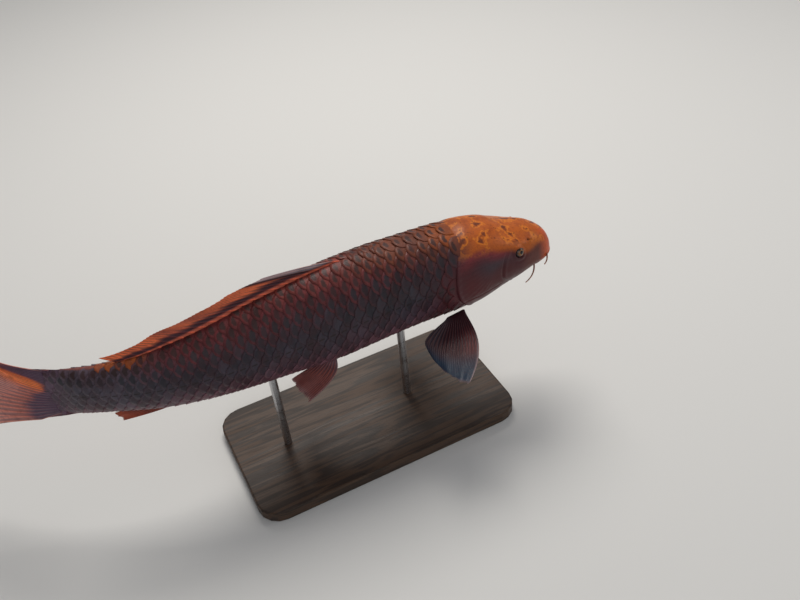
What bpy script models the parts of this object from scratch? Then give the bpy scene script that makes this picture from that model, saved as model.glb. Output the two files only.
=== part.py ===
"""A life-size koi carp, held as it glides, on a plain display stand.

The fish's head points to +X and its back to +Z. The origin is the middle of the stand's underside.
A place on the fish is given in three body measures: how far it lies behind the snout tip, measured
along the bent backbone line, how far to the fish's left, and how far up from that line.
"""

import math

import bmesh
import bpy
import numpy as np

# Driving dimensions, in metres and radians
STANDARD_LENGTH = 0.500  # snout tip to the root of the tail fin
FISH_HEIGHT = 0.162  # the backbone line at mid-body above the floor
FISH_FORWARD = -0.036  # mid-body point from the middle of the stand, so that the weight is over the base
FISH_LEFT = 0.004
GAP = 0.0003  # between neighbouring solids

# The bend of the body: the head turns a little to the right and the tail sweeps to the left
HEAD_TURN = 0.093
TAIL_TURN = 0.517
TAIL_DROP = 0.016
SNOUT_DROP = 0.0125

# The body's outline at eleven stations, in shares of the standard length. Each line holds the place behind
# the snout tip, the half width, the back's height and the belly's depth from the backbone line, and how
# square the section is above and below that line (2 is an ellipse).
STATIONS = (
    (0.00, 0.0000, 0.0000, 0.0000, 2.2, 2.2),  # snout tip
    (0.02, 0.0345, 0.0445, 0.0160, 2.2, 1.9),  # nostrils
    (0.05, 0.0500, 0.0590, 0.0310, 2.3, 1.9),  # mouth corners
    (0.10, 0.0640, 0.0655, 0.0615, 2.35, 2.1),  # behind the eyes
    (0.20, 0.0768, 0.0830, 0.0945, 2.2, 2.25),  # gill covers
    (0.30, 0.0750, 0.0890, 0.0985, 2.1, 2.3),  # shoulders
    (0.45, 0.0740, 0.0975, 0.1030, 1.9, 2.3),  # below the front of the dorsal fin
    (0.60, 0.0640, 0.0890, 0.0905, 1.85, 2.1),  # belly behind the pelvic fins
    (0.75, 0.0450, 0.0690, 0.0755, 1.95, 2.0),  # vent
    (0.90, 0.0245, 0.0535, 0.0610, 2.0, 2.0),  # tail stem
    (1.00, 0.0150, 0.0535, 0.0680, 2.0, 2.0),  # root of the tail fin
)
SIDES = 32  # points round a section
BODY_END = 0.9999  # just short of the end, where the square root's slope is still finite

# Where the body is parted, in shares of the standard length
HEAD_END = 0.205
GILL_EDGE_BACK = 0.030  # how far the gill cover's rim reaches behind the head's end on the sides
THROAT_FORWARD = 0.030  # how far the rim lies in front of the head's end under the throat
MIDDLE_START = 0.420
REAR_START = 0.620
STEM_START = 0.790

# Head, in metres, apart from the places along the body, which are shares of the standard length
EYE_RADIUS = 0.0062
EYE_PLACE = 0.0945
EYE_UP = 0.0125
EYE_STANDS_OUT = 0.0016
MOUTH_CORNER = 0.050
MOUTH_LINE = -0.0045  # height of the slit under the upper lip
MOUTH_CORNER_UP = -0.0120
JAW_BACK = 0.030  # how far behind the mouth's corner the jaw's cut reaches, under the throat
BELOW_HEAD = 0.060  # past the skin on every side, for cutters
GILL_FRONT = 0.142
GILL_ROUND = 0.060  # from the gill cover's front to the middle of its rounding
GILL_TOP = 0.030
GILL_BOTTOM = -0.044
GILL_DEPTH = 0.022  # where the gill cover's inner face lies, from the backbone plane
BARBELS = (
    # name, place, up, length back, length out, length down
    ("barbel_lip", 0.022, 0.001, 0.006, 0.006, 0.009),
    ("barbel_corner", 0.047, -0.011, 0.014, 0.009, 0.017),
)
BARBEL_RADIUS = 0.0010
BARBEL_ROOT = 0.002  # how deep a feeler starts in the skin, before the body is cut away
BARBEL_TIP = 0.55  # its radius at the tip, as a share

# Fins: a root lies between two places on the body. The rays' lengths and the heights of their tips are in
# metres, given for the root's front and back, or at named shares of the way between. Angles are in radians.
FIN_THICKNESS = 0.0012
ROOT_DEPTH = 0.004  # how far a fin's root line starts inside the body, before the body is cut away
PAIRED_BOW_OUT = 1.4  # the greater, the nearer the tip the bow of a paired fin is widest
DORSAL_ROOT = (0.422, 0.845)
DORSAL_RAYS = ((0.0, 0.3, 1.0), (0.078, 0.060, 0.018))
DORSAL_TIPS = ((0.0, 0.12, 0.52, 0.6, 1.0), (0.0150, 0.0160, 0.0140, 0.0140, 0.0050))
DORSAL_BULGE = 0.65  # the rays rise at once and then lie level, as this power of the share along them
DORSAL_LEAN = 0.0025  # how far their tips lean to the left
ANAL_ROOT = (0.760, 0.850)
ANAL_RAYS = (0.062, 0.021)
ANAL_TIPS = (0.0140, 0.0040)
ANAL_BULGE = 0.6  # as for the dorsal fin
TAIL_FIN_ROOT = 0.985
TAIL_FIN_RAYS = ((0.0, 0.80, 1.0), (0.048, 0.108, 0.090))  # from the fork to the outer edge
TAIL_FIN_ROOTS = (1.06, 0.93)  # the outer rays' roots below and above, as shares of the stem's half height
TAIL_FIN_FAN = (0.12, 0.38)  # below and above
TAIL_FIN_SPREAD = (0.6, 1.8)  # the fan opens from the root to the tips by these factors
TAIL_FIN_TILT = 0.40  # the rays at the fork point this far up
TAIL_FIN_CURL = 1.6  # how fast the tail fin goes on turning left behind the tail stem
TAIL_FIN_WAVE = 0.003
PECTORAL_ROOT = (0.215, 0.255)
PECTORAL_RAYS = (0.085, 0.035)  # the front ray and the back ray
PECTORAL_SWEEP = (0.45, 0.97)  # how far each points to the tail
PECTORAL_BOW = (0.071, -0.060)  # how far each edge bows forward, the front one and the back one
PECTORAL_DIVE = 0.15
PECTORAL_AWAY = 0.031  # the root's distance from the backbone plane
PECTORAL_UP = -0.0365
PECTORAL_DROOP = 0.006
PELVIC_ROOT = (0.476, 0.502)
PELVIC_RAYS = (0.052, 0.035)
PELVIC_SWEEP = (0.98, 1.43)
PELVIC_BOW = (0.074, -0.010)
PELVIC_DIVE = 0.75
PELVIC_AWAY = 0.017
PELVIC_UP = -0.0440

# Stand
BASE_LENGTH = 0.280
BASE_WIDTH = 0.150
BASE_THICKNESS = 0.012
BASE_CORNER = 0.022
BASE_EDGE = 0.0015
ROD_RADIUS = 0.0040
ROD_FRONT_PLACE = 0.330
ROD_REAR_PLACE = 0.600
ROD_REACH = 0.012  # how far a rod would reach into the body, before the body is cut away

LEFT, UPPER = 1, 1
RIGHT, LOWER = -1, -1

for leftover in list(bpy.data.objects):
    bpy.data.objects.remove(leftover, do_unlink=True)
parts = bpy.data.collections.new("koi_carp")
cutters = bpy.data.collections.new("koi_cutters")
bpy.context.scene.collection.children.link(parts)
bpy.context.scene.collection.children.link(cutters)


def material(name, colour, roughness, metallic=0.0):
    """A plain finish for one part."""
    made = bpy.data.materials.new(name)
    made.use_nodes = True
    shader = made.node_tree.nodes["Principled BSDF"]
    shader.inputs["Base Color"].default_value = (*colour, 1.0)
    shader.inputs["Roughness"].default_value = roughness
    shader.inputs["Metallic"].default_value = metallic
    return made


def smooth(x):
    """Rises from 0 to 1 with level ends as x does."""
    x = np.clip(x, 0.0, 1.0)
    return x * x * (3.0 - 2.0 * x)


def mix(share, first, last):
    """A value on the straight way from the first to the last."""
    return first + (last - first) * share


def levels(share, places, values):
    """A value that eases from one level to the next between the given places."""
    total = values[0]
    for k in range(len(places) - 1):
        total = total + (values[k + 1] - values[k]) * smooth((share - places[k]) / (places[k + 1] - places[k]))
    return total


def through(places, values):
    """A smooth curve through the stations that never overshoots them: cubic pieces, whose slope at a station
    is the harmonic mean of the slopes on its two sides, or level where those differ in sign."""
    step = np.diff(places)
    slope = np.diff(values) / step
    before, after = slope[:-1], slope[1:]
    alike = before * after > 0
    inner = np.where(alike, 2 * before * after / np.where(alike, before + after, 1.0), 0.0)
    ends = np.concatenate([[slope[0]], inner, [slope[-1]]])

    def curve(x):
        x = np.clip(x, places[0], places[-1])
        k = np.clip(np.searchsorted(places, x, side="right") - 1, 0, len(step) - 1)
        f = (x - places[k]) / step[k]
        rise = values[k] + (values[k + 1] - values[k]) * smooth(f)
        lean = f * (1 - f) * step[k] * (ends[k] * (1 - f) - ends[k + 1] * f)
        return rise + lean

    return curve


# The snout is round, so every outline is a curve over the square root of the place
_columns = np.array(STATIONS).T
_along = np.sqrt(_columns[0])
half_width, back_height, belly_depth, square_above, square_below = (
    through(_along, column) for column in _columns[1:]
)

# The backbone line, worked out by walking along it in short steps
_walk = np.linspace(-0.2, 1.4, 1601)
_heading = HEAD_TURN * (1 - smooth((_walk - 0.1) / 0.35)) + TAIL_TURN * smooth((_walk - 0.6) / 0.4)
_heading = _heading + TAIL_FIN_CURL * np.maximum(_walk - 1.0, 0.0)
_step = (_walk[1] - _walk[0]) * STANDARD_LENGTH
_x = np.concatenate([[0.0], np.cumsum(-np.cos(_heading[:-1]) * _step)])
_y = np.concatenate([[0.0], np.cumsum(np.sin(_heading[:-1]) * _step)])
_x = _x - np.interp(0.5, _walk, _x) + FISH_FORWARD
_y = _y - np.interp(0.5, _walk, _y) + FISH_LEFT


def backbone_height(place):
    """Height of the backbone line above the floor: it dips at the snout and at the tail."""
    dip = SNOUT_DROP * (1 - smooth(place / 0.14)) + TAIL_DROP * smooth((place - 0.3) / 0.7)
    return FISH_HEIGHT - dip


def on_fish(place, left, up):
    """Points in metres from places in shares of the standard length, and distances left and up in metres."""
    place, left, up = np.broadcast_arrays(*(np.asarray(v, float) for v in (place, left, up)))
    heading = np.interp(place, _walk, _heading)
    x = np.interp(place, _walk, _x) + left * np.sin(heading)
    y = np.interp(place, _walk, _y) + left * np.cos(heading)
    return np.stack([x, y, backbone_height(place) + up], axis=-1)


def section(place, angle, grow=0.0):
    """Distances left and up of the body's skin at an angle round the section, from the fish's left upward.
    A section is an ellipse-like curve: the powers of sine and cosine make it squarer."""
    at = np.sqrt(np.clip(place, 0.0, 1.0))
    above = np.sin(angle) >= 0
    power = 2.0 / np.where(above, square_above(at), square_below(at))
    height = np.where(above, back_height(at), belly_depth(at)) * STANDARD_LENGTH + grow
    width = half_width(at) * STANDARD_LENGTH + grow
    left = width * np.sign(np.cos(angle)) * np.abs(np.cos(angle)) ** power
    up = height * np.sign(np.sin(angle)) * np.abs(np.sin(angle)) ** power
    return left, up


def side_width(place, up):
    """How far the skin lies from the backbone plane at a height above or below the backbone line."""
    at = math.sqrt(place)
    height = (back_height(at) if up >= 0 else belly_depth(at)) * STANDARD_LENGTH
    power = float(square_above(at) if up >= 0 else square_below(at))
    return float(half_width(at)) * STANDARD_LENGTH * (1 - min(abs(up / height), 1.0) ** power) ** (1 / power)


def place_object(name, mesh, finish):
    """An object from a mesh: with a finish it is a part, and without one it is a cutter."""
    made = bpy.data.objects.new(name, mesh)
    if finish:
        parts.objects.link(made)
        mesh.materials.append(finish)
    else:
        cutters.objects.link(made)
        made.hide_render = True
        made.display_type = "WIRE"
    return made


def new_object(name, points, faces, finish):
    """An object from points and faces, with every face turned outward."""
    mesh = bpy.data.meshes.new(name)
    mesh.from_pydata([tuple(p) for p in np.asarray(points, float)], [], faces)
    solid = bmesh.new()
    solid.from_mesh(mesh)
    bmesh.ops.recalc_face_normals(solid, faces=solid.faces)
    solid.to_mesh(mesh)
    solid.free()
    return place_object(name, mesh, finish)


def sheet_faces(rows, columns, closed=False):
    """Four-sided faces of a grid of points, row by row. A closed grid joins its last column to its first."""
    wide = columns if closed else columns - 1
    faces = []
    for row in range(rows - 1):
        for column in range(wide):
            here = row * columns + column
            beside = row * columns + (column + 1) % columns
            faces.append((here, beside, beside + columns, here + columns))
    return faces


def loft(name, rings, finish):
    """A closed solid through equal rings of points, with a point in the middle of each end."""
    rings = np.asarray(rings, float)
    rows, columns = rings.shape[:2]
    first = rows * columns
    last = first - columns
    faces = sheet_faces(rows, columns, closed=True)
    faces += [(first, (c + 1) % columns, c) for c in range(columns)]
    faces += [(first + 1, last + c, last + (c + 1) % columns) for c in range(columns)]
    points = np.concatenate([rings.reshape(-1, 3), rings[0].mean(0)[None], rings[-1].mean(0)[None]])
    return new_object(name, points, faces, finish)


ANGLES = np.arange(SIDES) * 2 * math.pi / SIDES


def head_end(angle):
    """The rim between head and trunk: it reaches back on the sides, where the gill covers end."""
    side = np.cos(angle) ** 2
    return HEAD_END - THROAT_FORWARD * (np.sin(angle) < 0) * (1 - side) + GILL_EDGE_BACK * side


def straight(place):
    """A plain cut square across the body."""
    return lambda angle: np.full_like(angle, place)


def body_rings(start, end, steps, grow=0.0):
    """Rings of skin points from one cut to the next, closer together near the snout."""
    share = np.linspace(0.0, 1.0, steps + 1)[:, None]
    first = np.sqrt(start(ANGLES))[None]
    last = np.sqrt(end(ANGLES))[None]
    place = (first + (last - first) * share) ** 2
    left, up = section(place, ANGLES[None], grow)
    return on_fish(place, left, up)


def body_length(name, start, end, steps, finish):
    """One length of the body between two cuts, with half the gap taken off each end."""
    half = 0.5 * GAP / STANDARD_LENGTH
    rings = body_rings(lambda angle: start(angle) + half, lambda angle: end(angle) - half, steps)
    return loft(name, rings, finish)


def whole_body(name, grow, steps=56):
    """The whole body in one piece, a little larger all round, to cut fin roots and rods with."""
    return loft(name, body_rings(straight(1 - BODY_END), straight(BODY_END), steps, grow), None)


def boolean(target, operation, tool):
    """Cuts, joins or keeps the shared part of two closed meshes."""
    step = target.modifiers.new(tool.name, "BOOLEAN")
    step.operation = operation
    step.solver = "EXACT"
    step.object = tool
    return target


def prism(name, outline, inner, outer):
    """A cutter with an outline seen from the side, in body places and heights, between two distances left."""
    outline = np.asarray(outline, float)
    rings = [on_fish(outline[:, 0], left, outline[:, 1]) for left in (inner, outer)]
    return loft(name, rings, None)


def gill_outline(inset):
    """The gill cover's edge seen from the side: a rounded front, and a back that runs past the head's end."""
    turn = np.linspace(0.5 * math.pi, 1.5 * math.pi, 13)
    middle = 0.5 * (GILL_TOP + GILL_BOTTOM)
    half = 0.5 * (GILL_TOP - GILL_BOTTOM) - inset
    centre = GILL_FRONT + 0.5 * GILL_ROUND
    reach = 0.5 * GILL_ROUND - inset / STANDARD_LENGTH
    front = [(centre + reach * math.cos(a), middle + half * math.sin(a)) for a in turn]
    past = HEAD_END + 2 * GILL_EDGE_BACK
    return front + [(past, middle - half), (past, middle + half)]


def jaw_outline(inset):
    """The lower jaw's edge seen from the side: the mouth line, then down behind the mouth corner."""
    lip = MOUTH_LINE - inset
    corner = MOUTH_CORNER_UP - inset
    back = MOUTH_CORNER - inset / STANDARD_LENGTH
    ahead = -MOUTH_CORNER
    bend = 0.25 * MOUTH_CORNER
    return [(ahead, lip), (bend, lip), (back, corner), (back + JAW_BACK, -BELOW_HEAD), (ahead, -BELOW_HEAD)]


def build_head(finish):
    """The head with its gill covers and lower jaw parted from it by thin cuts."""
    steps = 22
    head = body_length("head", straight(1 - BODY_END), head_end, steps, finish["head"])
    shape = body_length("head_shape", straight(1 - BODY_END), head_end, steps, None)
    for word, side in (("right", RIGHT), ("left", LEFT)):
        inner = side * (GILL_DEPTH - GAP)
        outer = side * BELOW_HEAD
        opening = prism(f"gill_opening_{word}", gill_outline(0.0), inner, outer)
        plate = prism(f"gill_plate_{word}", gill_outline(GAP), side * GILL_DEPTH, outer)
        cover = new_object(f"gill_cover_{word}", *mesh_parts(shape), finish["gill_cover"])
        boolean(cover, "INTERSECT", plate)
        boolean(head, "DIFFERENCE", opening)
    boolean(head, "DIFFERENCE", prism("jaw_opening", jaw_outline(0.0), -BELOW_HEAD, BELOW_HEAD))
    jaw = new_object("lower_jaw", *mesh_parts(shape), finish["head"])
    boolean(jaw, "INTERSECT", prism("jaw_shape", jaw_outline(GAP), -BELOW_HEAD, BELOW_HEAD))
    return head


def mesh_parts(source):
    """The points and faces of an object's mesh."""
    points = [tuple(v.co) for v in source.data.vertices]
    return points, [tuple(f.vertices) for f in source.data.polygons]


def ball(name, centre, radius, finish):
    """A ball made of a UV sphere, with its poles up and down."""
    mesh = bpy.data.meshes.new(name)
    solid = bmesh.new()
    bmesh.ops.create_uvsphere(solid, u_segments=16, v_segments=10, radius=radius)
    bmesh.ops.translate(solid, verts=solid.verts, vec=centre)
    solid.to_mesh(mesh)
    solid.free()
    return place_object(name, mesh, finish)


def build_eyes(head, finish):
    """Two eyeballs, each in a socket cut into the side of the head."""
    out = side_width(EYE_PLACE, EYE_UP) + EYE_STANDS_OUT - EYE_RADIUS
    for word, side in (("right", RIGHT), ("left", LEFT)):
        centre = on_fish(EYE_PLACE, side * out, EYE_UP)
        ball(f"eye_{word}", centre, EYE_RADIUS, finish["eye"])
        boolean(head, "DIFFERENCE", ball(f"socket_{word}", centre, EYE_RADIUS + GAP, None))


def build_barbels(body_cutter, finish):
    """Two pairs of feelers: short ones on the upper lip and longer ones at the mouth's corners.
    Each is a bent, tapering tube, trimmed to the skin at its root."""
    share = np.linspace(0.0, 1.0, 7)
    for kind, place, up, back, out, down in BARBELS:
        along = place + back * share**1.6 / STANDARD_LENGTH
        away = side_width(place, up) - BARBEL_ROOT * (1 - share) + out * np.sin(1.9 * share)
        for word, side in (("right", RIGHT), ("left", LEFT)):
            path = on_fish(along, side * away, up - down * share**1.3)
            feeler = tube(f"{kind}_{word}", path, BARBEL_RADIUS, BARBEL_TIP, finish["barbel"])
            boolean(feeler, "DIFFERENCE", body_cutter)


def tube(name, path, radius, tip_share, finish):
    """A tube with closed ends along a path, made from a bevelled curve and turned into a mesh."""
    line = bpy.data.curves.new(name, "CURVE")
    line.dimensions = "3D"
    line.bevel_depth = radius
    line.bevel_resolution = 2
    line.use_fill_caps = True
    spline = line.splines.new("POLY")
    spline.points.add(len(path) - 1)
    for point, where, share in zip(spline.points, path, np.linspace(0.0, 1.0, len(path))):
        point.co = (*where, 1.0)
        point.radius = 1.0 - (1.0 - tip_share) * share
    guide = bpy.data.objects.new(name + "_guide", line)
    cutters.objects.link(guide)
    bpy.context.view_layer.update()
    mesh = bpy.data.meshes.new_from_object(guide.evaluated_get(bpy.context.evaluated_depsgraph_get()))
    solid = bmesh.new()
    solid.from_mesh(mesh)
    bmesh.ops.remove_doubles(solid, verts=solid.verts, dist=1e-6)
    bmesh.ops.recalc_face_normals(solid, faces=solid.faces)
    solid.to_mesh(mesh)
    solid.free()
    mesh.materials.clear()
    bpy.data.objects.remove(guide, do_unlink=True)
    return place_object(name, mesh, finish)


def fin(name, surface, rays, steps, body_cutter, finish):
    """A thin plate over a surface of two shares: along the fin's root, and out along a ray. Its root is
    trimmed to the body's skin."""
    across, out = np.meshgrid(np.linspace(0, 1, rays), np.linspace(0, 1, steps), indexing="ij")
    points = on_fish(*surface(across, out)).reshape(-1, 3)
    made = new_object(name, points, sheet_faces(rays, steps), finish)
    plate = made.modifiers.new("thickness", "SOLIDIFY")
    plate.thickness = FIN_THICKNESS
    plate.offset = 0.0
    return boolean(made, "DIFFERENCE", body_cutter)


def dorsal_surface(across, out):
    """The dorsal fin, folded back along the ridge: the rays lie low and point to the tail. The first ones
    are the longest and stand highest at their tips, and the last ones are short."""
    place = mix(across, *DORSAL_ROOT)
    length = levels(across, *DORSAL_RAYS)
    height = levels(across, *DORSAL_TIPS)
    along = place + np.sqrt(length**2 - height**2) * out / STANDARD_LENGTH
    ridge = back_height(np.sqrt(along)) * STANDARD_LENGTH
    return along, DORSAL_LEAN * out**1.5, ridge - ROOT_DEPTH * (1 - out) + height * out**DORSAL_BULGE


def anal_surface(across, out):
    """The anal fin, folded back under the tail stem."""
    place = mix(across, *ANAL_ROOT)
    length = mix(across, *ANAL_RAYS)
    height = mix(across, *ANAL_TIPS)
    along = place + np.sqrt(length**2 - height**2) * out / STANDARD_LENGTH
    keel = belly_depth(np.sqrt(along)) * STANDARD_LENGTH
    return along, 0.0, ROOT_DEPTH * (1 - out) - keel - height * out**ANAL_BULGE


def caudal_surface(side):
    """One lobe of the tail fin, above or below: the rays fan out from the end of the tail stem. They are
    short at the fork and longest near the lobe's outer edge."""

    def surface(across, out):
        above = side == UPPER
        stem = back_height(1.0) if above else belly_depth(1.0)
        root = TAIL_FIN_ROOTS[above] * across * float(stem) * STANDARD_LENGTH
        length = levels(across, *TAIL_FIN_RAYS) * out
        fan = TAIL_FIN_FAN[above] * across * mix(out**2, *TAIL_FIN_SPREAD)
        turn = side * fan + TAIL_FIN_TILT * (1 - across**2) * mix(out, 0.6, 1.0)
        up = side * (0.5 * GAP + root) + length * np.sin(turn)
        along = TAIL_FIN_ROOT + length * np.cos(turn) / STANDARD_LENGTH
        return along, TAIL_FIN_WAVE * np.cos(3.0 * across) * out**2, up

    return surface


def pectoral_surface(side):
    """A breast fin, spread out level from low on the shoulder: a leaf-like paddle whose front edge bows
    forward, and whose rays grow shorter and point more to the tail towards its back edge."""

    def surface(across, out):
        length = mix(0.3 * across + 0.7 * across**3, *PECTORAL_RAYS) * out
        sweep = mix(0.22 * across + 0.78 * across**4, *PECTORAL_SWEEP)
        bow = mix(across, *PECTORAL_BOW) * out**PAIRED_BOW_OUT * (1 - out)
        along = mix(across, *PECTORAL_ROOT) + (length * np.sin(sweep) - bow) / STANDARD_LENGTH
        reach = length * np.cos(sweep)
        away = PECTORAL_AWAY + reach * math.cos(PECTORAL_DIVE)
        up = PECTORAL_UP - ROOT_DEPTH * across - reach * math.sin(PECTORAL_DIVE) - PECTORAL_DROOP * out**2
        return along, side * away, up

    return surface


def pelvic_surface(side):
    """A belly fin, swept back and down from beside the middle of the belly."""

    def surface(across, out):
        length = mix(across, *PELVIC_RAYS) * out
        sweep = mix(across, *PELVIC_SWEEP)
        bow = mix(across, *PELVIC_BOW) * out**PAIRED_BOW_OUT * (1 - out)
        along = mix(across, *PELVIC_ROOT) + (length * np.sin(sweep) - bow) / STANDARD_LENGTH
        reach = length * np.cos(sweep)
        away = PELVIC_AWAY - ROOT_DEPTH * across + reach * math.cos(PELVIC_DIVE)
        return along, side * away, PELVIC_UP - reach * math.sin(PELVIC_DIVE)

    return surface


def build_fins(body_cutter, finish):
    """The three middle fins and the two pairs."""
    fin("fin_dorsal", dorsal_surface, 34, 5, body_cutter, finish["fin"])
    fin("fin_anal", anal_surface, 9, 5, body_cutter, finish["fin"])
    fin("fin_caudal_upper", caudal_surface(UPPER), 14, 7, body_cutter, finish["fin"])
    fin("fin_caudal_lower", caudal_surface(LOWER), 14, 7, body_cutter, finish["fin"])
    for word, side in (("right", RIGHT), ("left", LEFT)):
        fin(f"fin_pectoral_{word}", pectoral_surface(side), 12, 8, body_cutter, finish["fin"])
        fin(f"fin_pelvic_{word}", pelvic_surface(side), 9, 6, body_cutter, finish["fin"])


def build_base(finish):
    """A flat base with rounded corners and softened edges."""
    turn = np.linspace(0.0, 0.5 * math.pi, 5)
    outline = []
    for quarter, (toward_x, toward_y) in enumerate(((1, 1), (-1, 1), (-1, -1), (1, -1))):
        centre_x = toward_x * (0.5 * BASE_LENGTH - BASE_CORNER)
        centre_y = toward_y * (0.5 * BASE_WIDTH - BASE_CORNER)
        for angle in turn + 0.5 * math.pi * quarter:
            outline.append((centre_x + BASE_CORNER * math.cos(angle), centre_y + BASE_CORNER * math.sin(angle)))
    rings = [[(x, y, height) for x, y in outline] for height in (0.0, BASE_THICKNESS)]
    base = loft("stand_base", rings, finish)
    edge = base.modifiers.new("edge", "BEVEL")
    edge.width = BASE_EDGE
    edge.segments = 2
    edge.limit_method = "ANGLE"
    edge.angle_limit = math.radians(60)


def build_rod(name, place, body_cutter, finish):
    """A round rod from the base's top up to the belly, trimmed to the skin."""
    foot = on_fish(place, 0.0, 0.0)
    belly = foot[2] - belly_depth(math.sqrt(place)) * STANDARD_LENGTH
    low = BASE_THICKNESS + GAP
    tall = belly + ROD_REACH - low
    mesh = bpy.data.meshes.new(name)
    solid = bmesh.new()
    bmesh.ops.create_cone(
        solid, cap_ends=True, segments=20, radius1=ROD_RADIUS, radius2=ROD_RADIUS, depth=tall
    )
    bmesh.ops.translate(solid, verts=solid.verts, vec=(foot[0], foot[1], low + 0.5 * tall))
    solid.to_mesh(mesh)
    solid.free()
    boolean(place_object(name, mesh, finish), "DIFFERENCE", body_cutter)


def build():
    """The whole model: fish first, then the stand under it."""
    finish = {
        "head": material("koi_head", (0.55, 0.13, 0.02), 0.35),
        "gill_cover": material("koi_gill_cover", (0.22, 0.05, 0.03), 0.35),
        "trunk": material("koi_trunk", (0.12, 0.05, 0.05), 0.40),
        "fin": material("koi_fin", (0.45, 0.08, 0.04), 0.45),
        "eye": material("koi_eye", (0.03, 0.02, 0.01), 0.10),
        "barbel": material("koi_barbel", (0.50, 0.14, 0.05), 0.40),
        "base": material("stand_base", (0.03, 0.03, 0.03), 0.45),
        "rod": material("stand_rod", (0.55, 0.55, 0.56), 0.30, 1.0),
    }
    body_cutter = whole_body("body_cutter", GAP)
    head = build_head(finish)
    build_eyes(head, finish)
    body_length("trunk_front", head_end, straight(MIDDLE_START), 13, finish["trunk"])
    body_length("trunk_middle", straight(MIDDLE_START), straight(REAR_START), 7, finish["trunk"])
    body_length("trunk_rear", straight(REAR_START), straight(STEM_START), 6, finish["trunk"])
    body_length("tail_stem", straight(STEM_START), straight(BODY_END), 7, finish["trunk"])
    build_barbels(body_cutter, finish)
    build_fins(body_cutter, finish)
    build_base(finish["base"])
    build_rod("stand_rod_front", ROD_FRONT_PLACE, body_cutter, finish["rod"])
    build_rod("stand_rod_rear", ROD_REAR_PLACE, body_cutter, finish["rod"])


build()
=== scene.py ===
import math

import bpy
import numpy as np
from mathutils import Matrix


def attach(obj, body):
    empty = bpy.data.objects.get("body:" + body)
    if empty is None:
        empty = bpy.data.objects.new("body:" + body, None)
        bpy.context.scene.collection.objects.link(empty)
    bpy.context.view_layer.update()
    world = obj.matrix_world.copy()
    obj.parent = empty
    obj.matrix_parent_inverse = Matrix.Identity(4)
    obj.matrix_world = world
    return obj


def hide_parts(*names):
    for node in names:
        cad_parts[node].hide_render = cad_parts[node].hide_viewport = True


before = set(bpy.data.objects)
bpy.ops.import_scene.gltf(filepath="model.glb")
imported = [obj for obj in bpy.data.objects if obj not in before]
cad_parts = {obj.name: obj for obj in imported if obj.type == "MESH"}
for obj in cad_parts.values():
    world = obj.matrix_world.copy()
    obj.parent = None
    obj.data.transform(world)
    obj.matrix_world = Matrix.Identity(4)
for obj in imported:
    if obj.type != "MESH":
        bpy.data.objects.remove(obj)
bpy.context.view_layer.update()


# The skin. One unbroken hide covers the head, gill covers, jaw, trunk and tail stem, modelled over a
# plain round body: lips, nostrils, eye rims, cheeks and the rims of the gill covers are raised or pressed in.
# Behind the head it lies a scale's depth lower, so that the scales reach the outline.
MM = 0.001
BODY = 0.500  # snout tip to the root of the tail fin, the measure of every place along the fish
MIDDLE = (-0.036, 0.004, 0.162)  # the backbone line at mid-body, from the middle of the stand's underside
HEAD_TURN = 0.093  # radians, to the fish's right
TAIL_TURN = 0.517  # radians, to its left
TAIL_FIN_CURL = 1.6  # more radians for each body length behind the tail fin's root
TAIL_DROP = 0.016
SNOUT_DROP = 0.0125
HEAD_END = 0.205  # where the head ends at the nape
GILL_EDGE_BACK = 0.030
THROAT_FORWARD = 0.030
SCALE_DEPTH = 1.3 * MM
SKIN_UNDER = 0.3 * MM  # how far the whole hide lies under the outline
OUTLINE = (
    # place, half width, back height, belly depth (shares of BODY), squareness above and below
    (0.00, 0.0000, 0.0000, 0.0000, 2.20, 2.20),  # snout tip
    (0.02, 0.0345, 0.0445, 0.0160, 2.20, 1.90),  # nostrils
    (0.05, 0.0500, 0.0590, 0.0310, 2.30, 1.90),  # mouth corners
    (0.10, 0.0640, 0.0655, 0.0615, 2.35, 2.10),  # behind the eyes
    (0.20, 0.0768, 0.0830, 0.0945, 2.20, 2.25),  # gill covers
    (0.30, 0.0750, 0.0890, 0.0985, 2.10, 2.30),  # shoulders
    (0.45, 0.0740, 0.0975, 0.1030, 1.90, 2.30),  # below the front of the dorsal fin
    (0.60, 0.0640, 0.0890, 0.0905, 1.85, 2.10),  # belly behind the pelvic fins
    (0.75, 0.0450, 0.0690, 0.0755, 1.95, 2.00),  # vent
    (0.90, 0.0245, 0.0535, 0.0610, 2.00, 2.00),  # tail stem
    (1.00, 0.0150, 0.0535, 0.0680, 2.00, 2.00),  # root of the tail fin
)


def smooth(x):
    """Rises from 0 to 1 with level ends as x does."""
    x = np.clip(x, 0.0, 1.0)
    return x * x * (3.0 - 2.0 * x)


def past(x, start, over):
    """Rises from 0 to 1 with level ends as x goes on from a start, over a stretch."""
    return smooth((x - start) / over)


def hump(distance, width):
    """A bell curve: 1 at no distance, and about a third at the given width."""
    return np.exp(-((distance / width) ** 2))


def mix(share, first, last):
    """A value on the straight way from the first to the last."""
    return first + (last - first) * share


def through(places, values):
    """A smooth curve through the stations that never overshoots them: cubic pieces, whose slope at a station
    is the harmonic mean of the slopes on its two sides, or level where those differ in sign."""
    step = np.diff(places)
    slope = np.diff(values) / step
    before, after = slope[:-1], slope[1:]
    alike = before * after > 0
    inner = np.where(alike, 2 * before * after / np.where(alike, before + after, 1.0), 0.0)
    ends = np.concatenate([[slope[0]], inner, [slope[-1]]])

    def curve(x):
        x = np.clip(x, places[0], places[-1])
        k = np.clip(np.searchsorted(places, x, side="right") - 1, 0, len(step) - 1)
        f = (x - places[k]) / step[k]
        rise = values[k] + (values[k + 1] - values[k]) * smooth(f)
        return rise + f * (1 - f) * step[k] * (ends[k] * (1 - f) - ends[k + 1] * f)

    return curve


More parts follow.
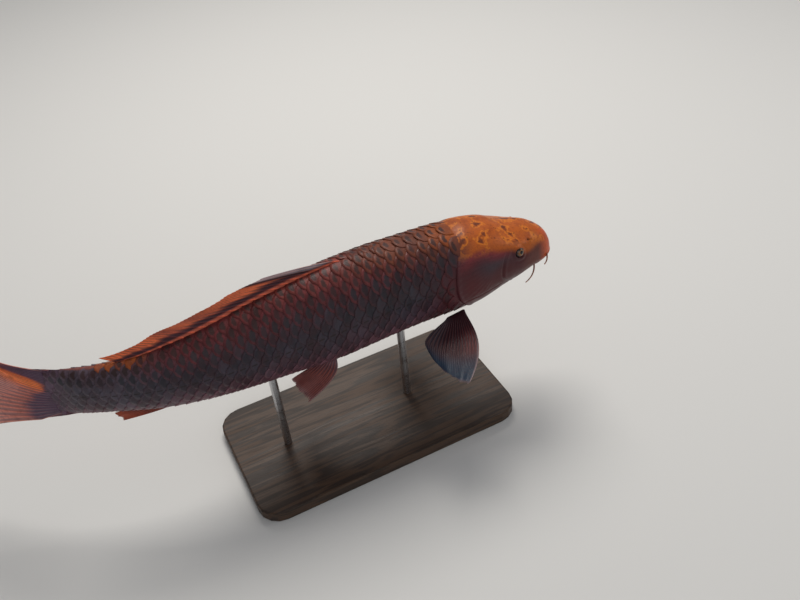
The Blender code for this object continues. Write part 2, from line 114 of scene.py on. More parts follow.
stations = np.array(OUTLINE).T
half_width, back_height, belly_depth, square_above, square_below = (
    through(np.sqrt(stations[0]), values) for values in stations[1:]
)

# The backbone line, worked out by walking along it in short steps
walk = np.linspace(-0.2, 1.4, 1601)
walk_heading = HEAD_TURN * (1 - past(walk, 0.1, 0.35)) + TAIL_TURN * past(walk, 0.6, 0.4)
walk_heading = walk_heading + TAIL_FIN_CURL * np.maximum(walk - 1.0, 0.0)
walk_step = (walk[1] - walk[0]) * BODY
walk_x = np.concatenate([[0.0], np.cumsum(-np.cos(walk_heading[:-1]) * walk_step)])
walk_y = np.concatenate([[0.0], np.cumsum(np.sin(walk_heading[:-1]) * walk_step)])
walk_x = walk_x - np.interp(0.5, walk, walk_x) + MIDDLE[0]
walk_y = walk_y - np.interp(0.5, walk, walk_y) + MIDDLE[1]


def on_fish(place, left, up):
    """Points in the frame from a place along the bent backbone line, and metres to the fish's left and up."""
    place, left, up = np.broadcast_arrays(place, left, up)
    heading = np.interp(place, walk, walk_heading)
    dip = SNOUT_DROP * (1 - smooth(place / 0.14)) + TAIL_DROP * past(place, 0.3, 0.7)
    x = np.interp(place, walk, walk_x) + left * np.sin(heading)
    y = np.interp(place, walk, walk_y) + left * np.cos(heading)
    return np.stack([x, y, MIDDLE[2] - dip + up], axis=-1)


def body_size(place):
    """Half width, back height, belly depth and the two squarenesses at a place, in metres. Behind the tail
    stem the flesh thins to a wedge and spreads with the fin's lobes."""
    at = np.sqrt(np.clip(place, 0.0, 1.0))
    thin = 1 - 0.88 * past(place, 0.915, 0.10)
    spread = 0.17 * BODY * np.maximum(place - 1.0, 0.0)
    back = back_height(at) * BODY + spread
    belly = belly_depth(at) * BODY + spread
    return half_width(at) * BODY * thin, back, belly, square_above(at), square_below(at)


def section(place, angle):
    """Metres left and up of the plain body at an angle round it, from the fish's left upward. The powers of
    sine and cosine make the ellipse a little squarer."""
    width, back, belly, above, below = body_size(place)
    top = np.sin(angle) >= 0
    power = 2.0 / np.where(top, above, below)
    left = width * np.sign(np.cos(angle)) * np.abs(np.cos(angle)) ** power
    up = np.where(top, back, belly) * np.sign(np.sin(angle)) * np.abs(np.sin(angle)) ** power
    return left, up


def plain_body(place, angle):
    """Points of the plain body, in the frame."""
    return on_fish(place, *section(place, angle))


def raised(place, angle, out):
    """A point of the plain body moved out along its own normal: the cross product of a short step towards
    the tail and a short step round."""
    back = plain_body(place + 2e-4, angle) - plain_body(np.maximum(place - 2e-4, 1e-5), angle)
    turned = plain_body(place, angle + 2e-3) - plain_body(place, angle - 2e-3)
    normal = np.cross(back, turned)
    normal = normal / np.linalg.norm(normal, axis=-1, keepdims=True)
    return plain_body(place, angle) + normal * np.asarray(out)[..., None]


def head_rim(angle):
    """Where the head ends: it reaches back on the sides, at the gill covers, and forward under the throat."""
    side = np.cos(angle) ** 2
    return HEAD_END - THROAT_FORWARD * (np.sin(angle) < 0) * (1 - side) + GILL_EDGE_BACK * side


EYE_RADIUS = 6.2 * MM
EYE_PLACE = 0.0945
EYE_UP = 12.5 * MM
EYE_STANDS_OUT = 1.6 * MM
EYE_OPENING = 4.3 * MM
NOSTRIL_PLACE = 0.0640
NOSTRIL_ANGLE = math.radians(43)
MOUTH_LINE = -4.5  # the mouth's sizes are in mm
MOUTH_START = 4.0
MOUTH_CORNER = 25.0
MOUTH_FALL = 7.5
LIPS = (
    # height, its middle above the mouth's line, half width, where it fades past the corner, and over how far
    (-2.2, 0.0, 0.75, -3, 5),  # slit
    (0.9, 2.3, 1.6, -3, 5),  # upper lip
    (1.0, -2.3, 1.7, -3, 5),  # lower lip
    (-1.0, 5.4, 0.9, 2, 8),  # fold of skin over the upper lip
    (-0.7, -5.6, 1.2, -3, 5),  # groove of the chin
)


def mouth_relief(s, up):
    """Lips over a slit that falls towards the mouth's corners, in mm. Each is a bell curve over the height
    above or below the slit's line, and fades near the corner."""
    above = up - MOUTH_LINE + MOUTH_FALL * np.clip((s - MOUTH_START) / (MOUTH_CORNER - MOUTH_START), 0.0, 1.6)
    return sum(
        high * hump(above - middle, wide) * (1 - smooth((s - MOUTH_CORNER - end) / fade))
        for high, middle, wide, end, fade in LIPS
    )


def nostril_relief(s, away, up):
    """A pair of pits on each side, with a small flap standing up between them, on a low swelling, in mm."""
    away_0, up_0 = section(NOSTRIL_PLACE, NOSTRIL_ANGLE)
    behind = s - NOSTRIL_PLACE * BODY / MM
    across = np.hypot(away - away_0 / MM, up - up_0 / MM)
    pits = 2.0 * hump(np.hypot(behind + 2.0, across), 1.1) + 1.7 * hump(np.hypot(behind - 1.5, across), 1.3)
    flap = 1.3 * hump(behind + 0.3, 0.9) * hump(across, 1.9)
    return 0.5 * hump(np.hypot(behind, across), 4.5) + flap - pits


def eye_relief(s, up):
    """A socket that dives under the eyeball, a thin raised rim round it, a groove round that, and a brow
    above, in mm."""
    ahead = s - EYE_PLACE * BODY / MM
    high = up - EYE_UP / MM
    away = np.hypot(ahead, high)
    socket = -4.0 * (1 - smooth((away - EYE_OPENING / MM + 1.1) / 1.5))
    rim = 0.55 * hump(away - 5.6, 1.1) - 0.35 * hump(away - 8.6, 1.2)
    return socket + rim + 1.0 * hump(high - 7.0, 2.8) * hump(ahead, 9)


def cheek_relief(s, up):
    """The cheek, the curved edge behind it, the plates of the gill cover with their two seams, and the fine
    ridges that fan out over the largest plate, in mm."""
    cheek = 0.8 * hump(s - 58, 11) * hump(up + 6, 11)
    behind = s - 68 + np.where(up > -4, 5, 12) * ((up + 4) / 18) ** 2
    tall = past(up, -27, 6) * (1 - past(up, 13, 5))
    edge = (0.35 * hump(behind + 2.6, 1.6) - 0.9 * hump(behind, 1.2)) * tall
    plate = 1.0 * hump(s - 92, 19) * hump(up - 1, 18)
    run = (s - 68) / 45
    seams = 0.7 * hump(up - mix(run, 17, 21), 1.3) + 0.5 * hump(up + mix(run, 17, 25), 1.1)
    on_plate = past(s, 74, 10) * past(up, -22, 8) * (up < 16)
    ridges = 0.10 * np.sin(44 * np.arctan2(up - 14, s - 68)) * on_plate
    return cheek + edge + plate - seams * past(s, 64, 6) + ridges


def rim_relief(place, angle):
    """The free rim of the gill cover: a rounded lip, then a steep drop into the gill slit, and a slow rise to
    the depth at which the scales are seated. On the nape there is only the slow fall. In mm."""
    behind = (place - head_rim(angle)) * BODY / MM
    turn = np.arcsin(np.clip(np.sin(angle), -1, 1))
    slit = smooth((math.radians(46) - turn) / math.radians(24)) * smooth((turn + math.radians(86)) / 0.3)
    lip = 0.6 * hump(behind + 1.5, 2.2) * slit * (behind <= 1e-3)
    seat = SCALE_DEPTH / MM * mix(slit, past(behind, -11, 13), past(behind, -1.5, 4))
    drop = 1.9 * slit * smooth(behind / 0.35) * (1 - past(behind, 1.5, 9))
    return lip - seat - drop


def kept_apart(place, angle, out, share):
    """Limits how deep a point may lie under the plain body near the tail fin: at most a share of its distance
    from the middle plane, so that the two sides of the thin wedge of flesh never cross."""
    left = np.abs(section(place, angle)[0])
    return np.maximum(out, -share * left - 10 * MM * (1 - past(place, 0.95, 0.04)))


def skin_relief(place, angle):
    """How far the skin stands out from the plain body, in metres: the face's features, a groove along the
    throat, a dip behind the snout and a drawn-in tip, all in front of the gill cover's rim, and that rim."""
    left, up = section(place, angle)
    s, away, up = place * BODY / MM, np.abs(left) / MM, up / MM
    face = mouth_relief(s, up) + nostril_relief(s, away, up) + eye_relief(s, up) + cheek_relief(s, up)
    face = face - 0.9 * hump(away, 2.2) * past(s, 40, 12) * (up < 0)
    face = face - 3.0 * hump(s - 48, 15) * smooth((np.sin(angle) - 0.62) / 0.25)
    face = face - 0.3 * (1 - past(s, 2, 6))
    in_front = 1 - smooth((place - head_rim(angle)) * BODY / (0.5 * MM))
    relief = (face * in_front + rim_relief(place, angle)) * MM - SKIN_UNDER
    return kept_apart(place, angle, relief, mix(past(place, 0.985, 0.02), 0.55, 0.90))


def tail_edge(angle):
    """Where the scaled flesh ends: a little further back along the top and bottom of the tail fin."""
    return 0.996 + 0.018 * np.abs(np.sin(angle)) ** 1.5


COLUMNS = 352
HEAD_ROWS = 176
BODY_ROWS = 92
BEHIND_RIM = (0.15, 0.35, 0.8, 1.6, 3.0, 5.0, 7.5, 10.5)  # mm


def skin_grid():
    """Places and angles of the skin's points. Head rows are spaced by a power of their share, closer at the
    snout, and end on the rim; a few rows crowd behind it, and the rest are even to the tail."""
    angle = np.linspace(0.0, 2 * math.pi, COLUMNS, endpoint=False)[None]
    rim = head_rim(angle)
    head = rim * np.linspace(0.012, 1.0, HEAD_ROWS)[:, None] ** 1.6
    crowd = rim + np.array(BEHIND_RIM)[:, None] * MM / BODY
    last = crowd[-1:]
    rest = last + (tail_edge(angle) - last) * np.linspace(0.0, 1.0, BODY_ROWS + 1)[1:, None]
    place = np.concatenate([head, crowd, rest])
    return place, np.broadcast_to(angle, place.shape)


def grid_faces(rows, across, closed=False):
    """Four-sided faces of a grid of points, as an array of corner numbers."""
    here = np.arange(rows - 1)[:, None] * across + np.arange(across if closed else across - 1)
    beside = here - here % across + (here + 1) % across
    return np.stack([here, beside, beside + across, here + across], axis=-1).reshape(-1, 4)


def closed_faces(rows, around):
    """Faces of rings of points, and of the fans that close the two ends on the two points after the grid."""
    ring = np.arange(around)
    after = (ring + 1) % around
    last = (rows - 1) * around
    fans = [[ring, after, rows * around], [last + after, last + ring, rows * around + 1]]
    fans = [np.stack(np.broadcast_arrays(*fan), axis=1).tolist() for fan in fans]
    return grid_faces(rows, around, closed=True)[:, ::-1].tolist() + fans[0] + fans[1]


def new_piece(name, points, faces, finish, **painted):
    """A mesh object at the origin from points and faces, with its finish, and with the numbers or colours
    that are painted on its points."""
    mesh = bpy.data.meshes.new(name)
    mesh.from_pydata(np.reshape(points, (-1, 3)).tolist(), [], faces)
    mesh.polygons.foreach_set("use_smooth", np.ones(len(mesh.polygons), dtype=bool))
    mesh.materials.append(finish)
    for layer, values in painted.items():
        values = np.asarray(values, float)
        if values.ndim == 2:
            values = np.pad(values, ((0, 0), (0, 1)), constant_values=1.0)
            mesh.attributes.new(layer, "FLOAT_COLOR", "POINT").data.foreach_set("color", values.ravel())
        else:
            mesh.attributes.new(layer, "FLOAT", "POINT").data.foreach_set("value", values)
    piece = bpy.data.objects.new(name, mesh)
    bpy.context.scene.collection.objects.link(piece)
    return piece


class Finish:
    """A material whose nodes are laid with short calls. Each call returns the new node's output."""

    def __init__(self, name, roughness=0.5, **sockets):
        self.material = bpy.data.materials.new(name)
        self.material.use_nodes = True
        self.nodes = self.material.node_tree.nodes
        self.shader = self.nodes["Principled BSDF"]
        self.shader.inputs["Roughness"].default_value = roughness
        for socket, value in sockets.items():
            self.shader.inputs[socket.replace("_", " ")].default_value = value

    def join(self, value, socket):
        """Links a node's output to a socket, or sets a number or colour on it."""
        if isinstance(value, bpy.types.NodeSocket):
            self.material.node_tree.links.new(value, socket)
        elif socket.type == "RGBA":
            socket.default_value = (*value, 1.0)
        else:
            socket.default_value = value

    def lay(self, kind, output, *joined, **settings):
        """A new node with its settings, and its inputs given as pairs of socket and value."""
        node = self.nodes.new(kind)
        for setting, value in settings.items():
            setattr(node, setting, value)
        for socket, value in joined:
            self.join(value, node.inputs[socket])
        return node.outputs[output]

    def read(self, attribute, output="Fac"):
        """A number or a colour that is painted on the piece."""
        return self.lay("ShaderNodeAttribute", output, attribute_name=attribute)

    def place(self, stretch=(1.0, 1.0, 1.0)):
        """The point on the piece, with its axes stretched."""
        point = self.lay("ShaderNodeTexCoord", "Object")
        return self.lay("ShaderNodeMapping", "Vector", ("Vector", point), ("Scale", stretch))

    def noise(self, size, detail=3.0, rough=0.5, where=None, twist=0.0):
        """Soft noise, whose blobs are about this many metres apart, from 0 to 1."""
        inputs = {"Scale": 1.0 / size, "Detail": detail, "Roughness": rough, "Distortion": twist}
        return self.lay("ShaderNodeTexNoise", "Fac", ("Vector", where or self.place()), *inputs.items())

    def cells(self, size):
        """The distance from the nearest of scattered points, in shares of their spacing."""
        return self.lay("ShaderNodeTexVoronoi", "Distance", ("Vector", self.place()), ("Scale", 1.0 / size))

    def sum(self, kind, a, b=0.0):
        """One step of arithmetic."""
        return self.lay("ShaderNodeMath", 0, (0, a), (1, b), operation=kind)

    def times(self, a, b):
        """The product of two numbers."""
        return self.sum("MULTIPLY", a, b)

    def plus(self, a, b):
        """The sum of two numbers."""
        return self.sum("ADD", a, b)

    def between(self, value, low, high, out_low=0.0, out_high=1.0):
        """Eases from one number to another as the value goes from low to high."""
        inputs = enumerate((value, low, high, out_low, out_high))
        return self.lay("ShaderNodeMapRange", 0, *inputs, interpolation_type="SMOOTHSTEP")

    def blend(self, share, a, b, kind="MIX"):
        """Mixes or multiplies two colours by a share."""
        return self.lay("ShaderNodeMix", 2, (0, share), (6, a), (7, b), data_type="RGBA", blend_type=kind)

    def bump(self, height, depth):
        """Relief from a number between 0 and 1, this many metres deep."""
        inputs = {"Height": height, "Distance": depth, "Strength": 1.0}
        return self.lay("ShaderNodeBump", "Normal", *inputs.items())

    def finish(self, colour, roughness=None, normal=None):
        """Joins colour, roughness and relief to the shader, and gives the material."""
        for value, name in ((colour, "Base Color"), (roughness, "Roughness"), (normal, "Normal")):
            if value is not None:
                self.join(value, self.shader.inputs[name])
        return self.material


ORANGE = np.array((0.46, 0.105, 0.018))
DEEP_ORANGE = np.array((0.50, 0.070, 0.008))
BROWN = np.array((0.11, 0.036, 0.017))
MAROON = np.array((0.080, 0.014, 0.017))
CRIMSON = np.array((0.150, 0.026, 0.030))
SLATE = np.array((0.036, 0.035, 0.044))
PURPLE = np.array((0.049, 0.038, 0.053))
BELLY = np.array((0.170, 0.074, 0.095))
FLESH = np.array((0.108, 0.056, 0.094))


def tint(share, first, last):
    """Mixes two colours by an array of shares."""
    return mix(np.clip(share, 0, 1)[..., None], np.asarray(first), np.asarray(last))


def laid(ground, *layers):
    """A ground colour with other colours laid over it in turn, each by its own array of shares."""
    for share, colour in layers:
        ground = tint(share, ground, colour)
    return ground


def markings(place, rise):
    """The ground colour at a place and a share of the way round (-1 belly, 0 side, 1 ridge): colours laid
    over each other by smooth steps and bell curves of the two. The head is orange on top and maroon below.
    The body goes from a rosy belly by purple and slate to crimson, and to orange-brown on the nape."""
    front_pit = hump(np.hypot((place - 0.0602) / 0.0034, (rise - 0.478) / 0.024), 1.0)
    rear_pit = hump(np.hypot((place - 0.0674) / 0.0030, (rise - 0.478) / 0.022), 1.0)
    rise = rise + 0.05 * np.sin(place * 61.0) * np.cos(rise * 7.0 + place * 23.0)
    red = hump(place - 0.245, 0.035) * (1 - 0.5 * past(rise, 0.1, 0.4))
    crimson = past(rise, 0.14, 0.42) * past(place, 0.24, 0.1)
    crimson = crimson * (1 - 0.7 * past(place, 0.78, 0.1))
    stem = past(place, 0.72, 0.15) * past(rise, -0.7, 0.5)
    stem = stem * (1 - 0.8 * past(rise, 0.8, 0.15))
    back = past(rise, 0.40, 0.42) * (1 - 0.88 * past(place, 0.34, 0.18))
    beside_fin = past(rise, 0.64, 0.2) * past(place, 0.40, 0.05)
    beside_fin = beside_fin * (1 - past(place, 0.54, 0.16))
    pale = hump(place - 0.66, 0.14) * smooth((-0.35 - rise) / 0.35)
    hem = np.maximum(past(rise, 0.80, 0.12), 0.4 * smooth((-0.50 - rise) / 0.3))
    flame = np.maximum(hump(place - 0.822, 0.024), hump(place - 0.867, 0.020)) * past(rise, 0.66, 0.16)
    body = laid(
        tint(past(rise, -0.58, 0.6), BELLY, PURPLE),
        (past(rise, -0.15, 0.4) * smooth((0.62 - place) / 0.3), SLATE),
        (0.85 * red, MAROON * 1.15),
        (0.85 * crimson, CRIMSON),
        (0.7 * stem, mix(0.5, SLATE, PURPLE) * 2.1),
        (back, tint(past(place, 0.205, 0.10), ORANGE * 0.74, (0.150, 0.044, 0.024))),
        (0.68 * beside_fin, (0.245, 0.054, 0.042)),
        (0.9 * past(place, 0.935, 0.05), FLESH),
        (0.75 * pale, BELLY * 1.5),
        (0.7 * hem * past(place, 0.86, 0.05), (0.26, 0.080, 0.060)),
        (0.9 * flame, ORANGE * 0.9),
    )
    edge = 0.35 - 0.15 * hump(place - 0.085, 0.045)
    face = laid(
        tint(past(rise, -0.8, 0.6), BELLY * 0.75, MAROON * 0.88),
        (0.7 * hump(place - 0.205, 0.045) * hump(rise + 0.10, 0.35), CRIMSON * 0.72),  # gill rim
        (0.9 * (1 - past(place, 0.055, 0.045)), (0.125, 0.035, 0.026)),  # jaws
        (0.85 * hump(place - 0.155, 0.045) * hump(rise - 0.17, 0.13), SLATE * 1.25),  # gill cover
        (0.9 * hump(rise - edge - 0.03, 0.14) * past(place, 0.10, 0.04), CRIMSON * 1.5),  # below it
        (smooth((rise - edge + 0.02) / 0.17), ORANGE),  # top
        (smooth((0.050 - place) / 0.035), DEEP_ORANGE * 1.15),  # snout
        (0.85 * np.maximum(front_pit, rear_pit), (0.030, 0.011, 0.009)),  # nostrils
    )
    in_head = 1 - smooth((place - 0.170 - 0.035 * (1 - past(rise, 0.2, 0.5))) / 0.045)
    return tint(in_head, body, face)


def rise_of(angle):
    """The share of the way round from the side (0) to the ridge (1) or to the keel (-1), by angle."""
    return np.arcsin(np.clip(np.sin(angle), -1, 1)) / (0.5 * math.pi)


def skin_finish():
    """Moist scaleless hide: the painted ground colour with a fine dark dust, a pebbled relief and a thin wet
    coat. The head's top has soft blotches, brown islands ringed by thin bright lines of painted caustic
    light, and small freckles."""
    made = Finish("koi_skin", roughness=0.44, Coat_Weight=0.08, Coat_Roughness=0.20, Specular_IOR_Level=0.16)
    ground = made.read("ground", "Color")
    top = made.read("top")
    blotch = made.noise(9 * MM, 4.0, 0.6)
    colour = made.blend(made.between(blotch, 0.42, 0.70, 0.0, 0.5), ground, (0.22, 0.036, 0.012))
    colour = made.blend(top, ground, colour)
    island = made.noise(14 * MM, 3.0, 0.5)
    # Painted light: the bright orange lines round the brown islands are painted caustic light, a net of
    # focused light, not the skin's own colour
    rim = made.times(made.between(island, 0.48, 0.54), made.between(island, 0.55, 0.60, 1.0, 0.0))
    colour = made.blend(made.times(made.times(rim, top), 0.75), colour, (0.66, 0.19, 0.022))
    core = made.times(made.between(island, 0.57, 0.64), top)
    colour = made.blend(made.times(core, 0.8), colour, (0.095, 0.024, 0.014))
    freckle = made.between(made.cells(3.2 * MM), 0.16, 0.30, 1.0, 0.0)
    sparse = made.between(made.noise(7 * MM, 2.0, 0.5), 0.50, 0.62)
    spots = made.times(made.times(freckle, sparse), made.times(top, 0.75))
    colour = made.blend(spots, colour, (0.045, 0.014, 0.010))
    dust = made.between(made.noise(1.6 * MM, 2.0, 0.6), 0.45, 0.75, 0.0, 0.30)
    colour = made.blend(dust, colour, (0.030, 0.014, 0.014))
    relief = made.plus(made.noise(2.2 * MM, 3.0, 0.6), made.times(made.noise(0.7 * MM), 0.4))
    rough = made.between(made.noise(6 * MM), 0.3, 0.7, 0.34, 0.52)
    return made.finish(colour, rough, made.bump(relief, 0.10 * MM))


skin_place, skin_angle = skin_grid()
skin_points = raised(skin_place, skin_angle, skin_relief(skin_place, skin_angle))
skin_ends = [skin_points[0].mean(axis=0), skin_points[-1].mean(axis=0)]
skin_rise = rise_of(skin_angle)
ground = markings(skin_place, skin_rise).reshape(-1, 3)
from_eye = np.hypot((skin_place - EYE_PLACE) * BODY, section(skin_place, skin_angle)[1] - EYE_UP)
head_top = past(skin_rise, 0.30, 0.25) * (1 - past(skin_place, 0.19, 0.06))
head_top = head_top * smooth((from_eye - 5 * MM) / (9 * MM))
skin = new_piece(
    "koi_skin", np.concatenate([skin_points.reshape(-1, 3), skin_ends]),
    closed_faces(*skin_place.shape), skin_finish(),
    ground=np.concatenate([ground, ground[:1], ground[-1:]]), top=np.append(head_top, [1.0, 0.0]),
)
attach(skin, "root")
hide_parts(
    "head", "lower_jaw", "gill_cover_left", "gill_cover_right",
    "trunk_front", "trunk_middle", "trunk_rear", "tail_stem",
)


# The scales. Thin bony plates sit in rows from the gill covers to the tail fin, each with its front edge sunk
# in the skin and its round rear edge lying free over the next ones. One row runs along the middle of the back
# and one along the keel, and the row at mid-height is pierced by the pores of the lateral line.
SCALE_LONG = 1.75  # how many spacings long a scale is, most of it hidden
SCALE_SEEN = 0.30 * SCALE_LONG  # from a scale's column back to the middle of what shows of it
SCALE_HIDDEN = 0.70  # share of its length in front of that middle
SCALE_ROUND = 0.55  # share of its length that the round rear edge takes
SCALE_HALF = 1.06  # half its height, in rows
SCALE_RIM = 0.30 * MM
SCALE_CROWN = 0.30 * MM
RISE = 1.7 * MM  # from the sunk front edge to the free rear edge
TILT = 0.12 * MM  # the most by which one scale rises more than its like
MIDDLE_LIFT = 0.25 * MM  # how much higher the ridge and keel rows lie
SIZE_SPREAD = 0.04
TONE_SPREAD = 0.22
SUNK = 0.5 * MM
ROW_HEIGHTS = (10.2, 7.6)  # mm, at the shoulders and at the tail fin
SPACINGS = (11.2, 9.0)
FIN_START = 0.415  # the dorsal fin's front end, where the ridge row stops
CELLS_LONG = 6
CELLS_WIDE = 6

arc_places = np.linspace(0.12, 1.10, 246)
arc_angles = np.linspace(-0.5 * math.pi, 0.5 * math.pi, 721)
arc_left, arc_up = section(arc_places[:, None], arc_angles[None])
arc_walk = np.cumsum(np.hypot(np.diff(arc_left), np.diff(arc_up)), axis=1)
arc_walk = np.concatenate([np.zeros((len(arc_places), 1)), arc_walk], axis=1)
arc_below = arc_walk[:, 360]
arc_above = arc_walk[:, -1] - arc_below
arc_shares = np.linspace(-1.0, 1.0, 401)
arc_turns = np.array([
    np.interp(np.where(arc_shares < 0, arc_shares * low, arc_shares * high), line - low, arc_angles)
    for line, low, high in zip(arc_walk, arc_below, arc_above)
])
spacing = mix(past(arc_places, 0.25, 0.75), *SPACINGS) * MM / BODY
column_of = np.concatenate([[0.0], np.cumsum(np.diff(arc_places) / spacing[:-1])])


def turn_of(place, share):
    """The angle round the left side at a share of the way from mid-height to the ridge (1) or the keel (-1),
    measured along the skin. Past the ridge or the keel it goes on down or up the other side."""
    over = np.abs(share) > 1
    inside = np.where(over, np.sign(share) * 2 - share, share)
    x = np.interp(place, arc_places, np.arange(len(arc_places)))
    y = np.interp(inside, arc_shares, np.arange(len(arc_shares)))
    i = np.minimum(x.astype(int), len(arc_places) - 2)
    k = np.minimum(y.astype(int), len(arc_shares) - 2)
    front = mix(y - k, arc_turns[i, k], arc_turns[i, k + 1])
    rear = mix(y - k, arc_turns[i + 1, k], arc_turns[i + 1, k + 1])
    angle = mix(x - i, front, rear)
    return np.where(over, np.sign(share) * math.pi - angle, angle)


def row_height(place):
    """Metres from one row of scales to the next: less towards the tail."""
    return mix(past(place, 0.35, 0.65), *ROW_HEIGHTS) * MM


def place_of(column):
    """The place of a column of scales, counted from in front of the gill covers."""
    return np.interp(column, column_of, arc_places)


def lay_scales():
    """Columns, rows, places and angles of all scales. Every second row is set back by half a spacing. Rows
    that would cross the ridge or the keel stop there, and a middle row covers their ends."""
    column, row = np.meshgrid(np.arange(0, int(column_of[-1])), np.arange(-9, 9), indexing="ij")
    column = (column + 0.5 * (row % 2)).ravel()
    row = row.ravel().astype(float)
    shown = place_of(column + SCALE_SEEN)
    arc = row * row_height(shown)
    high = np.interp(shown, arc_places, arc_above)
    low = np.interp(shown, arc_places, arc_below)
    room = 0.45 * row_height(shown)
    fits = (arc < high - np.where(shown < 0.41, room, 0.3 * room)) & (arc > room - low)
    angle = turn_of(shown, np.clip(np.where(arc > 0, arc / high, arc / low), -1, 1))
    keep = fits & (shown > head_rim(angle) + 2.5 * MM / BODY) & (shown < tail_edge(angle))
    return column[keep], row[keep], shown[keep], angle[keep]


def middle_scales(middle):
    """Columns, places and angles of the row along the ridge (1), from the nape to the dorsal fin, or along
    the keel (-1), from the throat to the vent."""
    column = np.arange(0, int(column_of[-1])) + 0.25
    shown = place_of(column + SCALE_SEEN)
    angle = np.full_like(column, middle * 0.5 * math.pi)
    first, last = (0.004, FIN_START - 0.001) if middle > 0 else (0.02, 0.785)
    keep = (shown > head_rim(angle) + first) & (shown < last)
    return column[keep], shown[keep], angle[keep]


def scale_shape():
    """One scale on a grid: shares from front to rear edge, from the lower to the upper side, and of its
    length. The rear edge is half an ellipse, and each line of the grid runs from the straight front to it."""
    across = np.sin(np.linspace(-1, 1, CELLS_WIDE + 1) * 0.5 * math.pi)
    run, across = np.meshgrid(np.linspace(0, 1, CELLS_LONG + 1), across, indexing="ij")
    reach = 1 - SCALE_ROUND + SCALE_ROUND * np.sqrt(np.clip(1 - across**2, 0, 1))
    return run.ravel(), across.ravel(), (run * reach).ravel()


def grid_edge(rows, across):
    """The numbers of the points along the edge of a grid, all the way round."""
    number = np.arange(rows * across).reshape(rows, across)
    return np.concatenate([number[:-1, 0], number[-1, :-1], number[:0:-1, -1], number[0, :0:-1]])


def scale_faces():
    """The plate's top, a narrow rim round it, and its underside, which spans from side to side."""
    rows, across = CELLS_LONG + 1, CELLS_WIDE + 1
    number = np.arange(rows * across).reshape(rows, across)
    edge = grid_edge(rows, across)
    under = {int(n): rows * across + k for k, n in enumerate(edge)}
    spans = [[number[0, 0], number[1, 0], number[1, -1], *number[0, :0:-1]]]
    for line, after in zip(number[1:], number[2:]):
        spans.append([line[0], after[0], after[-1], line[-1]])
    faces = grid_faces(rows, across).tolist()
    faces += [[int(a), int(b), under[int(b)], under[int(a)]] for a, b in zip(edge, np.roll(edge, -1))]
    faces += [[under[int(n)] for n in span] for span in [*spans, number[-1]]]
    return faces, edge


plate_run, plate_across, plate_reach = scale_shape()
plate_faces, plate_edge = scale_faces()


def scale_piece(name, column, row, shown, angle, middle, side, seed, finish):
    """A joined mesh of many scales. Each point lies at its own column and row, so that a scale bends with the
    body, and stands out from the skin by a rise that grows to the free edge and a low crown across."""
    chance = np.random.default_rng(seed)
    count = len(column)
    tone, tilt, spread = (chance.uniform(-1, 1, (count, 1)) for _ in range(3))
    size = 1 + SIZE_SPREAD * spread
    reach = plate_reach[None]
    place = place_of(column[:, None] + (reach - SCALE_HIDDEN) * SCALE_LONG * size + SCALE_SEEN)
    step = row_height(place) * SCALE_HALF * size * plate_across[None]
    high, low = np.interp(place, arc_places, arc_above), np.interp(place, arc_places, arc_below)
    if middle:
        share = middle * (1 + step / (high if middle > 0 else low))
    else:
        arc = row[:, None] * row_height(place) + step
        share = arc / np.where(arc > 0, high, low)
        share = np.where((place > FIN_START) & (share > 0.985), 0.985 + 0.06 * (share - 0.985), share)
    turn = turn_of(place, share)
    turn = turn if side > 0 else math.pi - turn
    lift = RISE + SCALE_CROWN * (1 - plate_across[None] ** 2) + TILT * tilt + MIDDLE_LIFT * abs(middle)
    lift = lift - 1.0 * MM * smooth((np.abs(share) - 0.72) / 0.2) * past(place, 0.5, 0.3)
    out = lift * reach - SCALE_DEPTH - SKIN_UNDER - SUNK
    out = np.where(out > -SCALE_DEPTH, mix(0.6 * past(place, 0.94, 0.06), out, -SCALE_DEPTH), out)
    out = kept_apart(place, turn, out, 0.92)
    rim = raised(place[:, plate_edge], turn[:, plate_edge], out[:, plate_edge] - SCALE_RIM)
    points = np.concatenate([raised(place, turn, out), rim], axis=1)
    each = points.shape[1]
    faces = [[corner + n * each for corner in face] for n in range(count) for face in plate_faces]
    if side > 0 and middle >= 0:
        faces = [face[::-1] for face in faces]
    rise = rise_of(angle)
    base = markings(shown, rise) * (1 + TONE_SPREAD * tone)
    dark = tint(past(rise, 0.35, 0.3), SLATE * 0.8, mix(0.4, SLATE, BROWN) * 0.7)
    flame = smooth((base[:, 0] - 0.24) / 0.08) * (shown > 0.7)
    plain = np.maximum(flame, 0.75 * (1 - past(rise, 0.08, 0.34)))
    plain = np.maximum(plain, past(shown, 0.95, 0.05))
    spot = tint(plain + 0.15 * tilt[:, 0], dark, base * 0.85) * (1 + 0.2 * tone)
    net = past(rise, 0.42, 0.25) * (1 - 0.6 * past(shown, 0.36, 0.25))
    own = np.tile(np.append(plate_run, plate_run[plate_edge]), count)
    wide = np.tile(np.append(plate_across, plate_across[plate_edge]), count)
    piece = new_piece(
        name, points, faces, finish, run=own, across=wide, net=np.repeat(net, each),
        ground=np.repeat(base, each, axis=0), spot=np.repeat(spot, each, axis=0),
        chance=np.repeat(0.5 + 0.5 * tone[:, 0], each), pore=np.repeat((row == 0) & (middle == 0), each),
    )
    corner = np.empty(len(piece.data.loops), dtype=np.int32)
    piece.data.loops.foreach_get("vertex_index", corner)
    under = np.tile(np.repeat([0.0, 1.0], [len(plate_run), len(plate_edge)]), count)
    along_map = 0.02 + 0.94 * (shown - 0.15) / 0.95
    round_map = 0.02 + 0.94 * ((turn[:, 0] / (2 * math.pi)) % 1.0)
    u = np.repeat(along_map, each) + 0.003 * (own - 0.5)
    v = np.repeat(round_map, each) + 0.0015 * wide * (1 + 0.2 * under)
    patches = piece.data.uv_layers.new(name="OFBake")
    patches.data.foreach_set("uv", np.stack([u[corner], v[corner]], axis=1).ravel())
    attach(piece, "root")


